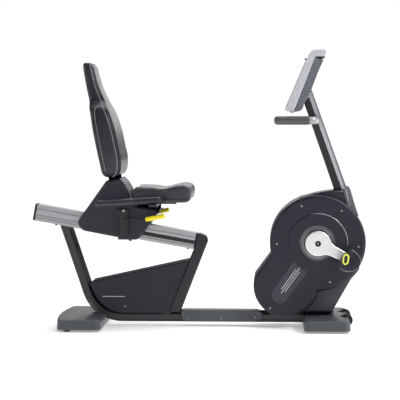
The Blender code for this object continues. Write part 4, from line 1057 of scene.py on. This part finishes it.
def make_carriage():
    """The carriage covers, a light grey strip of painted highlight along each cover's front edge, the lever
    bracket and what shows of the saddle.
    """
    outline = rounded(CARRIAGE, CARRIAGE_RADII, 6)
    tunnel = rectangle(-47.5, -90, 47.5, 45.3)
    for name, away in SIDES:
        node = "carriage_cover_" + name
        half = cover(node + "_fine", outline, away * 0.0003, away * CARRIAGE_HALF_WIDTH, 0.003, 0.010, 0.010)
        stand_in(half, node)
        tool = stack("cut_tunnel", tunnel, [(0, rail_distance(-0.65)), (0, rail_distance(-0.1))], on_rail)
        cut_with(half, tool)
        if away < 0:
            # Room for the lock pin's head when the lever is lifted
            pin = Vector(on_rail(0, -0.0065, rail_distance(-0.369)))
            relief = turned("cut_pin", mm((10.5, 0), (10.5, 14.5)), Vector((pin.x, -0.0990, pin.z)), 32,
                            axis=Vector((0, -1, 0)))
            cut_with(half, relief)
        cut_box(half, "cut_neck", (-0.457, -0.034, 0.72), (-0.397, 0.034, 0.80))
        cut_box(half, "cut_pan", (-0.306, -0.046, 0.600), (-0.194, 0.046, 0.650))
        # A light grey strip along the front edge of each cover: painted highlight
        lit_edge_line = smooth_line(mm((-391, 758), (-368, 731), (-348, 697), (-334, 661), (-329, 628)), 8)
        path = [(x + 0.001, away * 0.1165, z) for x, z in lit_edge_line]
        section = rectangle(-4, -3.5, 4, 3.5, 2.5, 4)
        strip = bridge("carriage_edge_highlight_" + name, carried(path, section, ACROSS))
        put(strip, node, "console_grey")
    refined("lever_bracket", 0.0018)
    refined("carriage_frame", 0.0008, steps=2)
    screw("bracket_screw_0", (-0.370, -0.148, 0.597), -1, 0.0058, "lever_bracket")
    rib = rectangle(-357, 470, -349, 560, 2, 4)
    put(slab("bracket_rib", rib, -0.1505, -0.1475, 0.0010), "lever_bracket")
    pocket = rectangle(-403, 474, -350, 488, 3, 4)
    put(slab("bracket_step", pocket, -0.126, -0.1205, 0.0010), "lever_bracket")
    head = mm((11, -1), (11, 1.5), (7.5, 2), (7.5, 8), (6, 9.2), (0.5, 9.2))
    put(turned("carriage_bolt", head, Vector((-0.343, -0.075, 0.448)), 6, False, Vector((0, 0, -1))),
        "carriage_cover_right", "black_trim")


def make_lever():
    """The release lever's rod and its two ribbed yellow grips."""
    lift = {"right": (0.554, 0.573), "left": (0.562, 0.586)}
    arms = {}
    for name, away in SIDES:
        mid, _ = lift[name]
        arms[name] = [(-0.258, away * LEVER_SPREAD, mid), (-0.300, away * LEVER_SPREAD, (mid + 0.5525) / 2),
                      (-0.335, away * LEVER_SPREAD, 0.5525), (-0.350, away * (LEVER_SPREAD - 0.004), 0.552),
                      (-0.355, away * (LEVER_SPREAD - 0.012), 0.552)]
    path = arms["right"] + [(-0.355, 0.0, 0.552)] + list(reversed(arms["left"]))
    stand_in(swept("release_lever_fine", path, 0.0042, UP, 20), "release_lever")
    for name, away in SIDES:
        mid, tip = lift[name]
        start = Vector((-0.2577, away * LEVER_SPREAD, mid))
        end = Vector((-0.161, away * LEVER_SPREAD, tip))
        profile = [(0.0, 0.0048), (0.004, 0.0095), (0.03, 0.0112), (0.10, 0.0118), (0.48, 0.0118),
                   (0.54, 0.0104)]
        for i in range(6):
            share = 0.58 + 0.058 * i
            profile += [(share, 0.0104), (share + 0.010, 0.0119), (share + 0.034, 0.0119),
                        (share + 0.044, 0.0104)]
        profile += [(0.955, 0.0112), (0.985, 0.0090), (1.0, 0.0040)]
        stand_in(lathe_bar("lever_grip_" + name + "_fine", start, end, profile, 28), "lever_grip_" + name)


def make_handles():
    """The two side handles: a rubber rear part and a smooth front part with a seam between them."""
    for name, away in SIDES:
        y = away * HANDLE_SPREAD
        start, end = (-0.504, y, 0.634), (-0.172, y, 0.657)
        radius = 0.0179
        rear = [(0.0, 0.0040), (0.004, 0.0085), (0.014, 0.0130), (0.030, 0.0162), (0.050, radius),
                (0.30, radius), (0.575, radius), (0.581, 0.0170), (0.583, 0.0160)]
        front = [(0.583, 0.0160), (0.585, 0.0168), (0.591, 0.0174), (0.80, 0.0172), (0.95, 0.0165),
                 (0.975, 0.0145), (0.990, 0.0100), (1.0, 0.0040)]
        stand_in(lathe_bar("seat_handle_" + name + "_fine", start, end, rear, 40), "seat_handle_" + name,
            "handle_grey")
        put(lathe_bar("handle_sleeve_" + name, start, end, front, 40), "seat_handle_" + name,
            "charcoal_plastic")


def remeshed(obj, voxel):
    """Replaces a mesh by its voxel remesh."""
    modifier = obj.modifiers.new("remesh", "REMESH")
    modifier.mode = "VOXEL"
    modifier.voxel_size = voxel
    bake(obj)


def bake(obj):
    """Applies all modifiers of a piece."""
    mesh = evaluated(obj)
    obj.modifiers.clear()
    obj.data = mesh


def inflate(obj, most, pressure=4.0, frames=20, voxel=0.0045, smoothing=5):
    """Swells a padded piece as cloth under pressure; no point moves further than most."""
    obj.modifiers.clear()
    remeshed(obj, voxel)
    rest = [v.co.copy() for v in obj.data.vertices]
    cloth = obj.modifiers.new("cloth", "CLOTH")
    cloth.settings.use_pressure = True
    cloth.settings.uniform_pressure_force = pressure
    cloth.settings.effector_weights.gravity = 0.0
    cloth.settings.quality = 5
    cloth.point_cache.frame_start = 1
    cloth.point_cache.frame_end = frames
    scene = bpy.context.scene
    for number in range(1, frames + 1):
        scene.frame_set(number)
    bake(obj)
    scene.frame_set(1)
    for vertex, old in zip(obj.data.vertices, rest):
        shift = vertex.co - old
        if shift.length > most:
            vertex.co = old + shift * (most / shift.length)
    smooth = obj.modifiers.new("smooth", "SMOOTH")
    smooth.factor = 0.5
    smooth.iterations = smoothing
    finer = obj.modifiers.new("finer", "SUBSURF")
    finer.levels = finer.render_levels = 1
    bake(obj)
    obj.data.shade_smooth()


def make_cushion():
    """The seat cushion: swelled, narrow behind and winged in front, with a piped seam round its foot."""
    stations = mm((-323.5, 166, 650, 700), (-317, 177, 644, 710.5), (-285, 183, 644, 714),
                  (-215, 185, 644, 711.5), (-188, 187, 644, 705.5), (-165, 203, 644, 705.5),
                  (-140, 214, 644, 711), (-90, 218, 644, 723.5), (-52, 217, 645, 726), (-34, 212, 650, 720),
                  (-27.5, 203, 654, 713))
    fine = smooth_line(stations, 5)
    loops = []
    for x, half, low, high in fine:
        edge = min(0.013, (high - low) * 0.30)
        corners = [(-half, low), (half, low), (half, high), (-half, high)]
        ring = rounded(corners, [0.008, 0.008, edge, edge], 6)
        loops.append([(x, y, z) for y, z in ring])
    cushion = bridge("seat_cushion_soft", loops)
    inflate(cushion, 0.004)
    stand_in(cushion, "seat_cushion", "seat_leather")
    for name, away in SIDES:
        seam = [(x, away * (half + 0.0012), low + 0.012) for x, half, low, high in fine[3:-6]]
        put(swept("cushion_seam_" + name, seam, 0.0016, UP, 8), "seat_cushion")
        top = [(x, away * (half * 0.80), high + 0.0026) for x, half, low, high in fine[6:-12]]
        put(swept("cushion_top_seam_" + name, top, 0.0012, ACROSS, 8), "seat_cushion")


def back_stations():
    """(z, rear, front, half width) of the backrest, from its foot to its head."""
    rows = mm((765.5, -462, -412, 150), (785, -476, -384, 188), (850, -490, -376, 204),
              (918, -504, -389, 208), (1000, -520, -407, 208), (1071, -531, -430, 203),
              (1110, -538, -446, 190), (1131, -541, -456, 163), (1152, -545, -466, 136),
              (1219, -560, -496, 128), (1290, -573, -517, 124), (1326, -577, -526, 120),
              (1339, -573, -531, 112))
    return smooth_line(rows, 5)


def make_backrest():
    """The backrest: a glossy dark shell that wraps its sides, and a swelled pad in front of it."""
    shells, pads, seam = [], [], []
    for z, rear, front, half in back_stations():
        depth = front - rear
        split = front - min(0.021, depth * 0.28)
        corner = min(0.020, depth * 0.35)
        rear_corner = [(rear + corner * (1 - math.sin(t)), half - corner * (1 - math.cos(t)) - 0.002)
                       for t in [math.radians(a) for a in (0, 18, 36, 54, 72, 90)]]
        right = [(split, half), ((split + rear) / 2, half - 0.0005)] + rear_corner + [(rear, half * 0.4)]
        shells.append([(x, -y, z) for x, y in mirrored(right)])
        seam.append((split, half, z))
        bulge = front - split
        pad = [(split - 0.008, half - 0.006), (split + bulge * 0.40, half - 0.006),
               (front - bulge * 0.20, half - 0.012), (front - 0.003, half - 0.026),
               (front - 0.002, half * 0.45)]
        pads.append([(x, -y, z) for x, y in mirrored(pad)])
    back = bridge("backrest_shell_fine", shells)
    stand_in(back, "backrest_shell", "black_leather", SLOTS["backrest_shell"])
    cushion = bridge("backrest_pad", pads[2:-2])
    inflate(cushion, 0.003, 3.0, smoothing=12)
    # The pad takes the darker leather copy: painted shade on its lit front
    stand_in(cushion, "backrest_cushion", "pad_leather")
    # The piping round the pad and the welts on the shell's sides are light grey: painted highlight on real seams
    line = [(x + 0.001, y - 0.0020, z) for x, y, z in seam[1:-1]]
    around = line + [(x, -y, z) for x, y, z in reversed(line)]
    put(swept("backrest_piping", around, 0.0030, AHEAD, 10), "backrest_cushion", "piping_leather")
    rows = [row for row in back_stations() if 0.795 < row[0] < 1.085]
    for name, away in SIDES:
        welt = [(rear + 0.024, away * (half + 0.0006), z) for z, rear, front, half in rows]
        welt += [(-0.506, away * 0.1945, 1.107), (-0.494, away * 0.188, 1.117), (-0.480, away * 0.186, 1.117),
                 (-0.470, away * 0.190, 1.105)]
        put(swept("backrest_welt_" + name, smooth_line(welt, 3), 0.0018, ACROSS, 8), "backrest_shell",
            "piping_leather")
    refined("backrest_post", 0.0020)


def carry_over():
    """Materials for the CAD nodes that stay as they are, mostly inside the covers."""
    for node, obj in NODES.items():
        if not obj.hide_render:
            obj.data.materials.clear()
            obj.data.materials.append(MATERIALS[SLOTS[node]])


make_stage()
make_base()
make_feet()
make_wheels()
make_rail()
make_housing()
make_cranks()
make_mast()
make_handlebar()
make_console()
make_carriage()
make_lever()
make_handles()
make_cushion()
make_backrest()
refined("seat_pan", 0.0010, steps=2)
carry_over()
